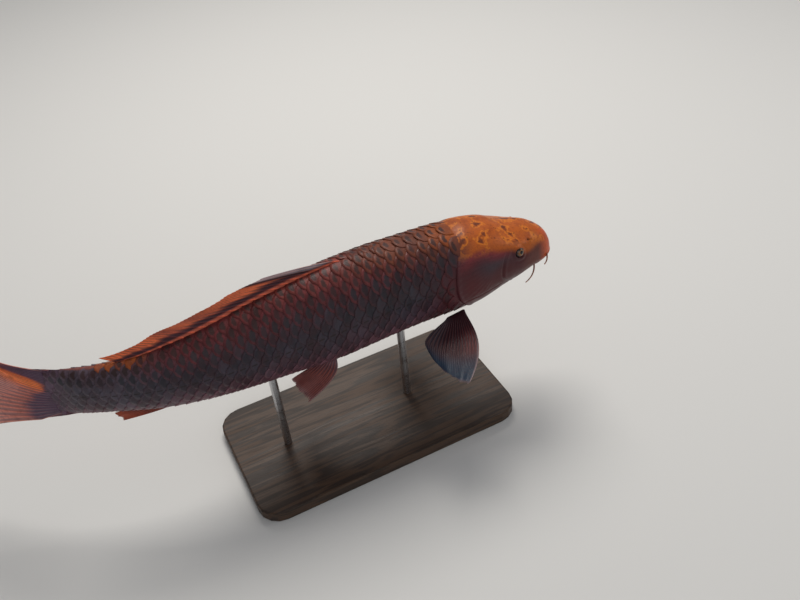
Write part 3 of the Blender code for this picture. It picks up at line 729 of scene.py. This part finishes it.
def scale_finish():
    """Each scale has a dark middle within a lighter net of ground colour, a faintly paler free edge that is
    partly its own colour and partly a painted sheen, fine ridges that spread to that edge and rings round the
    middle, and a thin wet coat. The lateral line's scales have a dark pore."""
    made = Finish(
        "koi_scales", roughness=0.44, Coat_Weight=0.07, Coat_Roughness=0.26, Specular_IOR_Level=0.15
    )
    along = made.read("run")
    wide = made.read("across")
    aside = made.sum("ABSOLUTE", wide)
    noise = made.noise(3.0 * MM, 3.0, 0.6)
    x = made.sum("DIVIDE", made.sum("SUBTRACT", along, 0.75), 0.18)
    y = made.sum("DIVIDE", wide, 0.72)
    away = made.sum("SQRT", made.plus(made.times(x, x), made.times(y, y)))
    away = made.plus(away, made.between(noise, 0.0, 1.0, -0.34, 0.34))
    away = made.plus(away, made.times(made.read("net"), 0.22))
    middle = made.times(made.between(away, 0.62, 1.02, 1.0, 0.0), 0.92)
    colour = made.blend(middle, made.read("ground", "Color"), made.read("spot", "Color"))
    mottle = made.between(made.noise(14 * MM, 3.0, 0.6), 0.40, 0.66, 0.0, 0.35)
    colour = made.blend(mottle, colour, (0.060, 0.018, 0.020))
    # The paler free edge: partly the scale's own edge colour, partly a painted sheen where light catches the
    # rim
    colour = made.blend(made.times(made.between(along, 0.90, 0.985), 0.08), colour, (0.26, 0.10, 0.07))
    pore = made.times(made.between(aside, 0.04, 0.10, 1.0, 0.0), made.between(along, 0.58, 0.64))
    pore = made.times(made.times(pore, made.between(along, 0.88, 0.93, 1.0, 0.0)), made.read("pore"))
    colour = made.blend(made.times(pore, 0.8), colour, (0.02, 0.012, 0.012))
    lines = made.sum("SINE", made.times(wide, 46.0))
    rings = made.sum("SINE", made.times(away, 34.0))
    relief = made.plus(made.plus(made.times(lines, 0.25), made.times(rings, 0.2)), noise)
    rough = made.plus(made.between(noise, 0.3, 0.7, 0.30, 0.46), made.times(made.read("chance"), 0.05))
    return made.finish(colour, rough, made.bump(relief, 0.09 * MM))


scale_coat = scale_finish()
column, row, shown, angle = lay_scales()
for word, side in (("left", 1), ("right", -1)):
    for half, chosen in (("upper", row >= 1), ("lower", row < 1)):
        scale_piece(
            f"scales_{half}_{word}", column[chosen], row[chosen], shown[chosen], angle[chosen],
            0, side, 11 + 2 * side + len(half), scale_coat,
        )
for name, middle in (("scales_ridge", 1), ("scales_keel", -1)):
    column, shown, angle = middle_scales(middle)
    scale_piece(name, column, np.zeros_like(column), shown, angle, middle, 1, 31 + middle, scale_coat)


# The eyes. Each is a glass ball with a clear domed front, set in its socket from outside: a black pupil, a
# thin bright ring round it, and an iris of mottled gold that is brown towards the top.
PUPIL = 0.33  # radians from the eye's axis
IRIS = 0.76
EYE_SEAT = 0.15 * MM  # how much smaller than the solid the ball is, but for its clear front
EYE_DOME = 0.14 * MM


def side_width(place, up):
    """Metres from the backbone plane to the plain body at a height above or below the backbone line."""
    width, back, belly, above, below = body_size(place)
    height, power = (back, above) if up >= 0 else (belly, below)
    return width * (1 - min(abs(up / height), 1.0) ** power) ** (1 / power)


def eye_axes(side):
    """The eye's middle, and its three directions: out along the skin's normal there, up, and across."""
    angles = np.linspace(0.0, 1.2, 1201)
    turn = np.interp(EYE_UP, section(EYE_PLACE, angles)[1], angles)
    turn = turn if side > 0 else math.pi - turn
    out = raised(EYE_PLACE, turn, 1.0) - raised(EYE_PLACE, turn, 0.0)
    up = np.array([0.0, 0.0, 1.0]) - out[2] * out
    up = up / np.linalg.norm(up)
    away = side_width(EYE_PLACE, EYE_UP) + EYE_STANDS_OUT - EYE_RADIUS
    return on_fish(EYE_PLACE, side * away, EYE_UP), out, up, np.cross(out, up)


def eye_piece(name, side, finish):
    """A ball on a grid of turns away from its axis and round it. The clear front stands a little proud."""
    middle, out, up, over = eye_axes(side)
    away, around = np.meshgrid(
        np.linspace(0.0, math.pi, 49)[1:-1], np.linspace(0, 2 * math.pi, 72, endpoint=False), indexing="ij"
    )
    radius = EYE_RADIUS - EYE_SEAT + EYE_DOME * hump(away, 0.62)
    parts = np.stack([np.cos(away), np.cos(around) * np.sin(away), np.sin(around) * np.sin(away)], axis=-1)
    points = (middle + parts @ np.array([out, up, over]) * radius[..., None]).reshape(-1, 3)
    ends = [middle + out * (EYE_RADIUS - EYE_SEAT + EYE_DOME), middle - out * (EYE_RADIUS - EYE_SEAT)]
    piece = new_piece(
        name, np.concatenate([points, ends]), closed_faces(*away.shape), finish,
        away=np.append(away, [0.0, math.pi]), high=np.append(parts[..., 1], [0.0, 0.0]),
    )
    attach(piece, "root")
    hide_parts(name)


def eye_finish():
    """Painted glass under a clear polished coat. The colours change with the turn away from the axis: black
    pupil, dull gold ring, flecked iris that is darker above, and a dark rim."""
    made = Finish("koi_eye", roughness=0.18, Coat_Weight=0.35, Coat_Roughness=0.03, Specular_IOR_Level=0.3)
    away = made.read("away")
    fleck = made.noise(0.5 * MM, 4.0, 0.65)
    iris = made.blend(made.between(fleck, 0.36, 0.64), (0.24, 0.085, 0.020), (0.070, 0.026, 0.012))
    dark = made.between(made.plus(made.read("high"), made.times(fleck, 0.3)), 0.20, 0.62, 0.0, 0.85)
    iris = made.blend(dark, iris, (0.030, 0.016, 0.012))
    ring = made.between(away, PUPIL + 0.05, PUPIL + 0.12, 1.0, 0.0)
    colour = made.blend(made.times(ring, 0.75), iris, (0.42, 0.19, 0.045))
    colour = made.blend(made.between(away, IRIS - 0.10, IRIS), colour, (0.020, 0.010, 0.010))
    pupil = made.between(away, PUPIL - 0.02, PUPIL + 0.02, 1.0, 0.0)
    colour = made.blend(pupil, colour, (0.004, 0.004, 0.005))
    return made.finish(colour, made.between(fleck, 0.3, 0.7, 0.10, 0.18))


eye_glass = eye_finish()
eye_piece("eye_left", 1, eye_glass)
eye_piece("eye_right", -1, eye_glass)


# The barbels. Two pairs of soft feelers grow from the upper lip and from the mouth's corners: solid tubes of
# flesh that bend down and back, thin to a blunt tip, and are ringed by fine folds.
BARBELS = (
    # name, place, up, length back, length out, length down
    ("barbel_lip", 0.022, 1 * MM, 6 * MM, 6 * MM, 9 * MM),
    ("barbel_corner", 0.047, -11 * MM, 14 * MM, 9 * MM, 17 * MM),
)
BARBEL_RADIUS = 1.0 * MM
BARBEL_ROOT = 2.0 * MM
BARBEL_TIP = 0.50
AROUND = 20


def tube(line, radius):
    """Points of a round rod along a line, and the middle points of its ends. Each ring stands square to the
    line's own direction."""
    ahead = np.gradient(line, axis=0)
    side = np.cross(ahead, [0.31, 0.27, 0.91])
    ahead, side = (v / np.linalg.norm(v, axis=1, keepdims=True) for v in (ahead, side))
    turn = np.linspace(0, 2 * math.pi, AROUND, endpoint=False)[None, :, None]
    ring = np.cos(turn) * side[:, None] + np.sin(turn) * np.cross(ahead, side)[:, None]
    sides = line[:, None] + ring * radius[:, None, None]
    return np.concatenate([sides.reshape(-1, 3), line[:1], line[-1:]])


def barbel_piece(kind, place, up, back, out, down, word, side, finish):
    """A feeler whose line leaves the lip sideways and curls back and down by sines and powers of the share
    along it. Its radius swells at the root and closes in a quarter of an ellipse at the tip."""
    share = np.linspace(0.0, 1.0, 41)
    share = np.concatenate([share[:-1], 1 - 0.025 * (1 - np.sin(np.linspace(0, 0.5 * math.pi, 7)))])
    away = side_width(place, up) - BARBEL_ROOT * (1 - share) + out * np.sin(1.9 * share)
    line = on_fish(place + back * share**1.6 / BODY, side * away, up - down * share**1.3)
    radius = BARBEL_RADIUS * mix(share**0.8, 1.0, BARBEL_TIP) * (1 + 0.30 * hump(share, 0.10))
    radius = radius * (1 + 0.05 * np.sin(share * 95.0))
    radius = radius * np.sqrt(np.clip(1 - ((share - 0.975) / 0.0252).clip(0, 1) ** 2, 0.002, 1))
    faces = [face[::-1] for face in closed_faces(len(share), AROUND)]
    along = np.append(np.repeat(share, AROUND), [0.0, 1.0])
    piece = new_piece(f"{kind}_{word}", tube(line, radius), faces, finish, along=along)
    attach(piece, "root")
    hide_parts(f"{kind}_{word}")


def barbel_finish():
    """Wet orange-brown flesh, browner at the root and paler at the tip, with fine rings."""
    made = Finish("koi_barbel", roughness=0.38, Coat_Weight=0.4, Coat_Roughness=0.15)
    along = made.read("along")
    mottle = made.noise(1.5 * MM, 3.0, 0.6)
    colour = made.blend(made.between(along, 0.15, 0.9), (0.24, 0.060, 0.024), (0.42, 0.150, 0.070))
    colour = made.blend(made.between(mottle, 0.45, 0.70, 0.0, 0.6), colour, (0.085, 0.026, 0.018))
    rings = made.sum("SINE", made.times(along, 150.0))
    relief = made.plus(made.times(rings, 0.4), mottle)
    return made.finish(colour, made.between(mottle, 0.3, 0.7, 0.30, 0.46), made.bump(relief, 0.06 * MM))


feeler = barbel_finish()
for word, side in (("left", 1), ("right", -1)):
    for values in BARBELS:
        barbel_piece(*values, word, side, feeler)


# The fins. Each is a double sheet of skin stretched over a fan of bony rays, which branch half way out and
# are jointed all along. The paired fins grow from thick fleshy roots, and the middle fins from the ridge,
# the keel and the tail stem. They are cast thin and set into the body.
ROOT_DEPTH = 4 * MM
BOW_OUT = 1.4
DORSAL_ROOT = (0.422, 0.845)
DORSAL_RAYS = ((0.0, 0.3, 1.0), (78 * MM, 60 * MM, 18 * MM))
DORSAL_TIPS = ((0.0, 0.12, 0.52, 0.6, 1.0), (15 * MM, 16 * MM, 14 * MM, 14 * MM, 5 * MM))
DORSAL_BULGE = 0.65
DORSAL_LEAN = 2.5 * MM
ANAL_ROOT = (0.760, 0.850)
ANAL_RAYS = (62 * MM, 21 * MM)
ANAL_TIPS = (14 * MM, 4 * MM)
ANAL_BULGE = 0.6
TAIL_FIN_ROOT = 0.985
TAIL_FIN_RAYS = ((0.0, 0.80, 1.0), (48 * MM, 108 * MM, 90 * MM))
TAIL_FIN_TILT = 0.40
TAIL_FIN_WAVE = 3 * MM
PECTORAL_ROOT = (0.215, 0.255)
PECTORAL_RAYS = (85 * MM, 35 * MM)
PECTORAL_SWEEP = (0.45, 0.97)
PECTORAL_BOW = (71 * MM, -60 * MM)
PECTORAL_DIVE = 0.15
PECTORAL_AWAY = 31 * MM
PECTORAL_UP = -36.5 * MM
PECTORAL_DROOP = 6 * MM
PELVIC_ROOT = (0.476, 0.502)
PELVIC_RAYS = (52 * MM, 35 * MM)
PELVIC_SWEEP = (0.98, 1.43)
PELVIC_BOW = (74 * MM, -10 * MM)
PELVIC_DIVE = 0.75
PELVIC_AWAY = 17 * MM
PELVIC_UP = -44 * MM
WEB_WAVE = 0.5 * MM


def levels(share, places, values):
    """Eases from each named value to the next as the share passes their places."""
    total = values[0]
    for step, start, over in zip(np.diff(values), places, np.diff(places)):
        total = total + step * past(share, start, over)
    return total


def laid_back(across, out, outline, root, length, height, bulge):
    """A fin folded back along the ridge or keel, as its place and its metres from the backbone line: each
    ray's tip has its own height beyond the root and lies back the rest of its length."""
    along = mix(across, *root) + np.sqrt(length**2 - height**2) * out / BODY
    edge = outline(np.sqrt(np.clip(along, 0, 1))) * BODY
    return along, edge - ROOT_DEPTH * (1 - out) + height * out**bulge


def dorsal_surface(across, out):
    """The long back fin, half folded and leaning a little to the left. Rays rise at once, then lie level."""
    length, height = levels(across, *DORSAL_RAYS), levels(across, *DORSAL_TIPS)
    along, up = laid_back(across, out, back_height, DORSAL_ROOT, length, height, DORSAL_BULGE)
    return along, DORSAL_LEAN * out**1.5, up


def anal_surface(across, out):
    """The fin behind the vent, laid back along the keel."""
    length, height = mix(across, *ANAL_RAYS), mix(across, *ANAL_TIPS)
    along, down = laid_back(across, out, belly_depth, ANAL_ROOT, length, height, ANAL_BULGE)
    return along, 0.0, -down


def tail_surface(across, out):
    """The forked tail fin, from the lower lobe's edge (-1) through the fork (0) to the upper lobe's (1). The
    rays fan out more above than below, and those at the fork point up."""
    lobe = np.abs(across)
    above = across > 0
    low = mix(np.minimum(out / 0.25, 1), 0.86, 1.06)
    root = across * np.where(above, 0.93 * back_height(1.0), low * belly_depth(1.0)) * BODY
    length = levels(lobe, *TAIL_FIN_RAYS) * out
    fan = np.where(above, 0.38, 0.12) * across * mix(out**2, 0.6, 1.8)
    turn = fan + TAIL_FIN_TILT * (1 - lobe**2) * mix(out, 0.6, 1.0)
    sway = TAIL_FIN_WAVE * np.cos(3 * lobe) * out**2
    return TAIL_FIN_ROOT + length * np.cos(turn) / BODY, sway, root + length * np.sin(turn)


def paddle(across, out, root, length, sweep, bow):
    """A paired fin's place and reach: its rays are swept back by an angle, and its edges are bowed."""
    bow = mix(across, *bow) * out**BOW_OUT * (1 - out)
    along = mix(across, *root) + (length * out * np.sin(sweep) - bow) / BODY
    return along, length * out * np.cos(sweep)


def pectoral_surface(across, out):
    """The left breast fin, spread out level from low on the shoulder. Its rays grow shorter and point more to
    the tail towards its back edge, and its tip droops."""
    length = mix(0.3 * across + 0.7 * across**3, *PECTORAL_RAYS)
    sweep = mix(0.22 * across + 0.78 * across**4, *PECTORAL_SWEEP)
    along, reach = paddle(across, out, PECTORAL_ROOT, length, sweep, PECTORAL_BOW)
    up = PECTORAL_UP - ROOT_DEPTH * across - reach * math.sin(PECTORAL_DIVE) - PECTORAL_DROOP * out**2
    return along, PECTORAL_AWAY + reach * math.cos(PECTORAL_DIVE), up


def pelvic_surface(across, out):
    """The left belly fin, swept back and down from beside the middle of the belly."""
    length, sweep = mix(across, *PELVIC_RAYS), mix(across, *PELVIC_SWEEP)
    along, reach = paddle(across, out, PELVIC_ROOT, length, sweep, PELVIC_BOW)
    away = PELVIC_AWAY - ROOT_DEPTH * across + reach * math.cos(PELVIC_DIVE)
    return along, away, PELVIC_UP - reach * math.sin(PELVIC_DIVE)


def fin_piece(name, surface, rays, colours, replaced, side=1, first=0.0, fine=9, long=40, root=0.4):
    """A closed double sheet over a grid of shares across the fan and out along the rays. Half its thickness
    is a thin web plus a round ridge on each ray, which parts in two beyond the branching, and a swelling at
    the root. The free edge is drawn in a little between the tips."""
    chance = np.random.default_rng(len(name) * 7 + rays)
    across = np.linspace(first, 1.0, (rays - 1) * fine + 1)[:, None]
    out = (np.linspace(0.0, 1.0, long) ** 0.92)[None]
    number = (across - first) / (1 - first) * (rays - 1)
    from_side = np.minimum(number, rays - 1 - number)
    beside = np.abs((number + 0.5) % 1.0 - 0.5)
    parted = 0.25 * past(out, 0.38, 0.32)
    ray = hump(beside - parted, mix(out, 0.20, 0.12)) * mix(smooth(out / 0.22), 0.35, 1.0)
    length = 1 + 0.02 * np.interp(number, np.arange(rays), chance.uniform(-1, 1, rays))
    notch = 0.028 * (1 - hump(beside - 0.25, 0.16)) * past(out, 0.6, 0.4)
    reach = np.maximum(out * (1 - notch) * mix(out, 1.0, length - 0.02), 1e-5)
    across, reach = np.broadcast_arrays(across, reach)

    def on_fin(across, reach):
        along, left, up = surface(across, reach)
        return on_fish(along, side * left, up)

    step = 1e-3
    beyond = on_fin(np.minimum(across + step, 1.0), reach)
    before = on_fin(np.maximum(across - step, first), reach)
    outward = on_fin(across, reach + step) - on_fin(across, np.maximum(reach - step, 0.0))
    normal = np.cross(beyond - before, outward)
    normal = normal / np.maximum(np.linalg.norm(normal, axis=-1, keepdims=True), 1e-12)
    ripple = WEB_WAVE * np.sin(number * 1.3 + 2.0 * out) * out**2
    half = mix(out, 0.24, 0.10) * MM + mix(out, 0.50, 0.10) * MM * ray * np.minimum(1.0, 6 * (1.02 - out))
    fleshy = root * MM * hump(out, 0.17) * np.sqrt(np.clip(from_side / 1.5, 0.05, 1.0))
    half = half * np.minimum(1.0, (from_side + 0.12) / 0.3) + fleshy
    half = half * (1 - 0.55 * past(out, 0.94, 0.06))
    middle = (beyond + before) / 2
    points = [middle + normal * (ripple + half)[..., None], middle + normal * (ripple - half)[..., None]]
    top = grid_faces(*ray.shape)
    edge = grid_edge(*ray.shape)
    after = np.roll(edge, -1)
    rim = np.stack([after, edge, edge + ray.size, after + ray.size], axis=1)
    piece = new_piece(
        name, points, np.concatenate([top[:, ::-1], top + ray.size, rim]).tolist(), fin_finish,
        ground=np.tile(colours(across, reach).reshape(-1, 3), (2, 1)),
        ray=np.tile(ray.ravel(), 2), out=np.tile(reach.ravel(), 2),
    )
    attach(piece, "root")
    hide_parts(*replaced)


def fin_material():
    """Wet skin that takes the painted ground colour, darker on the webs, and lighter and redder on the rays,
    which fine joints cross. Small dark blotches break it."""
    made = Finish("koi_fin", roughness=0.44, Coat_Weight=0.10, Coat_Roughness=0.25, Specular_IOR_Level=0.20)
    ray = made.read("ray")
    blotch = made.noise(6 * MM, 4.0, 0.6)
    blotches = made.between(blotch, 0.45, 0.72, 0.0, 0.30)
    colour = made.blend(blotches, made.read("ground", "Color"), (0.045, 0.018, 0.022))
    rays = made.blend(1.0, colour, (1.55, 1.20, 1.05), "MULTIPLY")
    web = made.blend(1.0, colour, (0.78, 0.80, 0.86), "MULTIPLY")
    colour = made.blend(made.between(ray, 0.15, 0.80), web, rays)
    joints = made.sum("SINE", made.times(made.read("out"), 210.0))
    mark = made.times(made.between(joints, 0.55, 0.95), made.between(ray, 0.4, 0.9))
    colour = made.blend(made.times(mark, 0.20), colour, (0.080, 0.024, 0.020))
    relief = made.plus(made.times(mark, -0.5), made.noise(0.9 * MM, 3.0, 0.6))
    return made.finish(colour, made.between(blotch, 0.3, 0.7, 0.34, 0.50), made.bump(relief, 0.05 * MM))


BRIGHT = np.array((0.64, 0.150, 0.050))
EMBER = np.array((0.42, 0.085, 0.048))
WINE = np.array((0.060, 0.018, 0.024))
LILAC = np.array((0.240, 0.190, 0.200))
SMOKE = np.array((0.008, 0.030, 0.062))
ROSE = np.array((0.420, 0.135, 0.105))


def dorsal_colours(across, out):
    """A bright orange line along the root, a wine-dark web, orange tips that are duller in patches towards
    the rear, and pale leading rays before a dark band."""
    tips = smooth((out - 0.37 - 0.06 * np.sin(across * 37.0)) / 0.22) * past(across, 0.05, 0.12)
    dull = past(across, 0.34, 0.2) * (1 - 0.5 * past(across, 0.74, 0.12))
    return laid(
        tint(past(out, 0.13, 0.13), (0.76, 0.170, 0.092), WINE * 1.1),
        (0.95 * tips * (1 - 0.3 * hump(across - 0.42, 0.2)), (0.74, 0.180, 0.068)),
        (dull * (0.28 + 0.24 * np.sin(across * 31.0)) * past(out, 0.2, 0.2), (0.12, 0.032, 0.045)),
        (smooth((0.19 - across) / 0.07) * past(out, 0.08, 0.10), WINE * 0.8),
        (0.95 * smooth((0.11 - across) / 0.05) * past(out, 0.12, 0.15), LILAC * 1.6),
    )


def tail_colours(across, out):
    """The tail stem's flesh fades in uneven tongues into the rays: an orange bundle just above the fork,
    ember ones above it, and rose ones below, which grow paler. The outer edges are thin and pink."""
    above = tint(past(across, 0.40, 0.3), BRIGHT, EMBER)
    below = tint(past(out, 0.25, 0.5), ROSE, (0.46, 0.22, 0.20))
    lobe = tint(smooth(across * 3 + 0.6), below, above)
    tongue = 0.02 + 0.20 * smooth((0.05 - across) / 0.35) + 0.18 * past(across, 0.35, 0.3)
    tongue = tongue + 0.02 * np.sin(across * 19.0)
    return laid(
        tint(smooth((out - tongue) / mix(past(across, 0.45, 0.2), 0.16, 0.45)), FLESH, lobe),
        (0.9 * hump(across - 0.16, 0.16) * past(out, 0.08, 0.15), (0.80, 0.22, 0.06)),
        (0.7 * smooth((np.abs(across) - 0.95) / 0.05), (0.48, 0.22, 0.18)),
    )


def pectoral_colours(across, out):
    """Wine-dark with a dull ember glow along the front, greyer behind, then smoke-blue with a lilac edge."""
    glow = past(out, 0.2, 0.2) * (1 - past(out, 0.55, 0.2)) * hump(across - 0.14, 0.20)
    rim = np.maximum(smooth((0.06 - across) / 0.05) * past(out, 0.35, 0.3), past(out, 0.94, 0.06))
    return laid(
        tint(past(across, 0.6, 0.35), WINE * 0.75, (0.078, 0.058, 0.068)),
        (0.75 * glow, (0.115, 0.026, 0.028)),
        (0.9 * past(out, 0.60, 0.28), SMOKE),
        (0.8 * rim, LILAC),
    )


def pelvic_colours(across, out):
    """Dusky pink at the root, brownish red further out, with a paler edge."""
    rim = np.maximum(smooth((0.08 - across) / 0.08), past(out, 0.88, 0.12))
    return tint(0.45 * rim, tint(smooth(out / 0.6), (0.165, 0.084, 0.102), (0.162, 0.051, 0.045)), LILAC)


def anal_colours(across, out):
    """Dull orange-red, lighter along the lower edge."""
    return tint(past(out, 0.45, 0.5), EMBER * 0.45, mix(0.3, EMBER, BRIGHT) * 0.65)


fin_finish = fin_material()
fin_piece("fin_dorsal", dorsal_surface, 22, dorsal_colours, ["fin_dorsal"], fine=8, long=36)
fin_piece("fin_anal", anal_surface, 8, anal_colours, ["fin_anal"], fine=10, long=30)
fin_piece(
    "fin_caudal", tail_surface, 23, tail_colours, ["fin_caudal_upper", "fin_caudal_lower"],
    first=-1.0, fine=8, long=56, root=0.6,
)
for word, side in (("left", 1), ("right", -1)):
    name = f"fin_pectoral_{word}"
    fin_piece(name, pectoral_surface, 17, pectoral_colours, [name], side, long=54, root=2.0)
    name = f"fin_pelvic_{word}"
    fin_piece(name, pelvic_surface, 10, pelvic_colours, [name], side, root=1.5)


# The display stand. A flat hardwood base, sawn and planed from one board with its edges eased, stained dark
# and lacquered, carries two brushed steel rods that are glued into it and into the fish's belly.
def wood_finish():
    """Dark stained wood: long bands of grain that wander, fine pores drawn out along them, satin lacquer."""
    made = Finish("stand_wood", roughness=0.5, Coat_Weight=0.10, Coat_Roughness=0.4, Specular_IOR_Level=0.3)
    drift = made.noise(60 * MM, 3.0, 0.5, made.place((0.35, 1.0, 1.0)))
    bands = made.noise(9 * MM, 4.0, 0.55, made.place((0.05, 1.0, 1.0)), twist=0.6)
    rings = made.sum("SINE", made.plus(made.times(bands, 26.0), made.times(drift, 30.0)))
    colour = made.blend(made.between(rings, -1.0, 1.0), (0.030, 0.017, 0.011), (0.068, 0.036, 0.020))
    pores = made.between(made.noise(0.8 * MM, 2.0, 0.6, made.place((0.03, 1.0, 1.0))), 0.56, 0.70, 0.0, 0.7)
    colour = made.blend(pores, colour, (0.012, 0.008, 0.006))
    relief = made.sum("SUBTRACT", made.times(bands, 0.5), made.times(pores, 0.8))
    return made.finish(colour, made.between(bands, 0.3, 0.7, 0.46, 0.60), made.bump(relief, 0.08 * MM))


def steel_finish():
    """Brushed steel: fine scratches round the rod, and a few duller patches."""
    made = Finish("stand_steel", roughness=0.30, Metallic=1.0)
    scratch = made.noise(0.9 * MM, 3.0, 0.6, made.place((0.12, 0.12, 4.0)))
    patch = made.noise(18 * MM, 2.0, 0.5)
    colour = made.blend(made.between(scratch, 0.35, 0.65), (0.50, 0.50, 0.51), (0.64, 0.64, 0.65))
    rough = made.plus(made.between(scratch, 0.3, 0.7, 0.22, 0.36), made.between(patch, 0.4, 0.7, 0.0, 0.10))
    return made.finish(colour, rough, made.bump(scratch, 0.02 * MM))


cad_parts["stand_base"].data.materials[0] = wood_finish()
stand_steel = steel_finish()
for rod in ("stand_rod_front", "stand_rod_rear"):
    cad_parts[rod].data.materials[0] = stand_steel


# The studio. A plain pale floor, three square soft boxes and a dim even sky light the model, and the camera
# looks down on it from the fish's right.
floor_mesh = bpy.data.meshes.new("floor")
floor_mesh.from_pydata([(-30, -30, 0), (30, -30, 0), (30, 30, 0), (-30, 30, 0)], [], [(0, 1, 2, 3)])
floor_mesh.materials.append(Finish("floor", roughness=0.8).finish((0.70, 0.69, 0.67)))
floor = bpy.data.objects.new("floor", floor_mesh)
bpy.context.scene.collection.objects.link(floor)

CAMERA_TURN = 0.397  # radians to the right of +Y, below the horizon, and of roll
CAMERA_DIP = 0.699
CAMERA_ROLL = -0.109
CAMERA_FROM_MIDDLE = np.array([-0.1515, -0.5725, 0.497])


def aim(turn, dip, roll, place):
    """A camera's or lamp's matrix from its turn to the right of +Y, its dip below the horizon and roll."""
    ahead = np.array([math.sin(turn) * math.cos(dip), math.cos(turn) * math.cos(dip), -math.sin(dip)])
    right = np.cross(ahead, [0, 0, 1])
    right /= np.linalg.norm(right)
    up = np.cross(right, ahead)
    right, up = right * math.cos(roll) + up * math.sin(roll), up * math.cos(roll) - right * math.sin(roll)
    made = Matrix((right, up, -ahead)).transposed().to_4x4()
    made.translation = place
    return made


lens = bpy.data.cameras.new("camera")
lens.lens = 37.85
lens.sensor_width = 36.0
lens.clip_start = 0.01
camera = bpy.data.objects.new("camera", lens)
camera.matrix_world = aim(CAMERA_TURN, CAMERA_DIP, CAMERA_ROLL, CAMERA_FROM_MIDDLE + np.array(MIDDLE))
bpy.context.scene.collection.objects.link(camera)
bpy.context.scene.camera = camera


def soft_light(name, place, towards, size, power, colour=(1, 1, 1)):
    """A square soft box that faces a point."""
    made = bpy.data.lights.new(name, "AREA")
    made.size = size
    made.energy = power
    made.color = colour
    lamp = bpy.data.objects.new(name, made)
    way = np.array(towards) - np.array(place)
    dip = -math.atan2(way[2], math.hypot(way[0], way[1]))
    lamp.matrix_world = aim(math.atan2(way[0], way[1]), dip, 0.0, place)
    bpy.context.scene.collection.objects.link(lamp)


soft_light("key", (0.35, 0.9, 1.7), (0.0, 0.0, 0.15), 0.9, 25, (1.0, 0.97, 0.92))
soft_light("fill", (-0.3, -1.8, 1.0), (0.0, 0.0, 0.15), 1.6, 6.5, (0.93, 0.96, 1.0))
soft_light("side", (1.6, -0.5, 0.9), (0.1, 0.0, 0.15), 1.0, 4)
world = bpy.data.worlds.new("studio")
world.use_nodes = True
world.node_tree.nodes["Background"].inputs["Color"].default_value = (0.86, 0.88, 0.92, 1.0)
world.node_tree.nodes["Background"].inputs["Strength"].default_value = 0.28
bpy.context.scene.world = world
bpy.context.scene.view_settings.view_transform = "Standard"
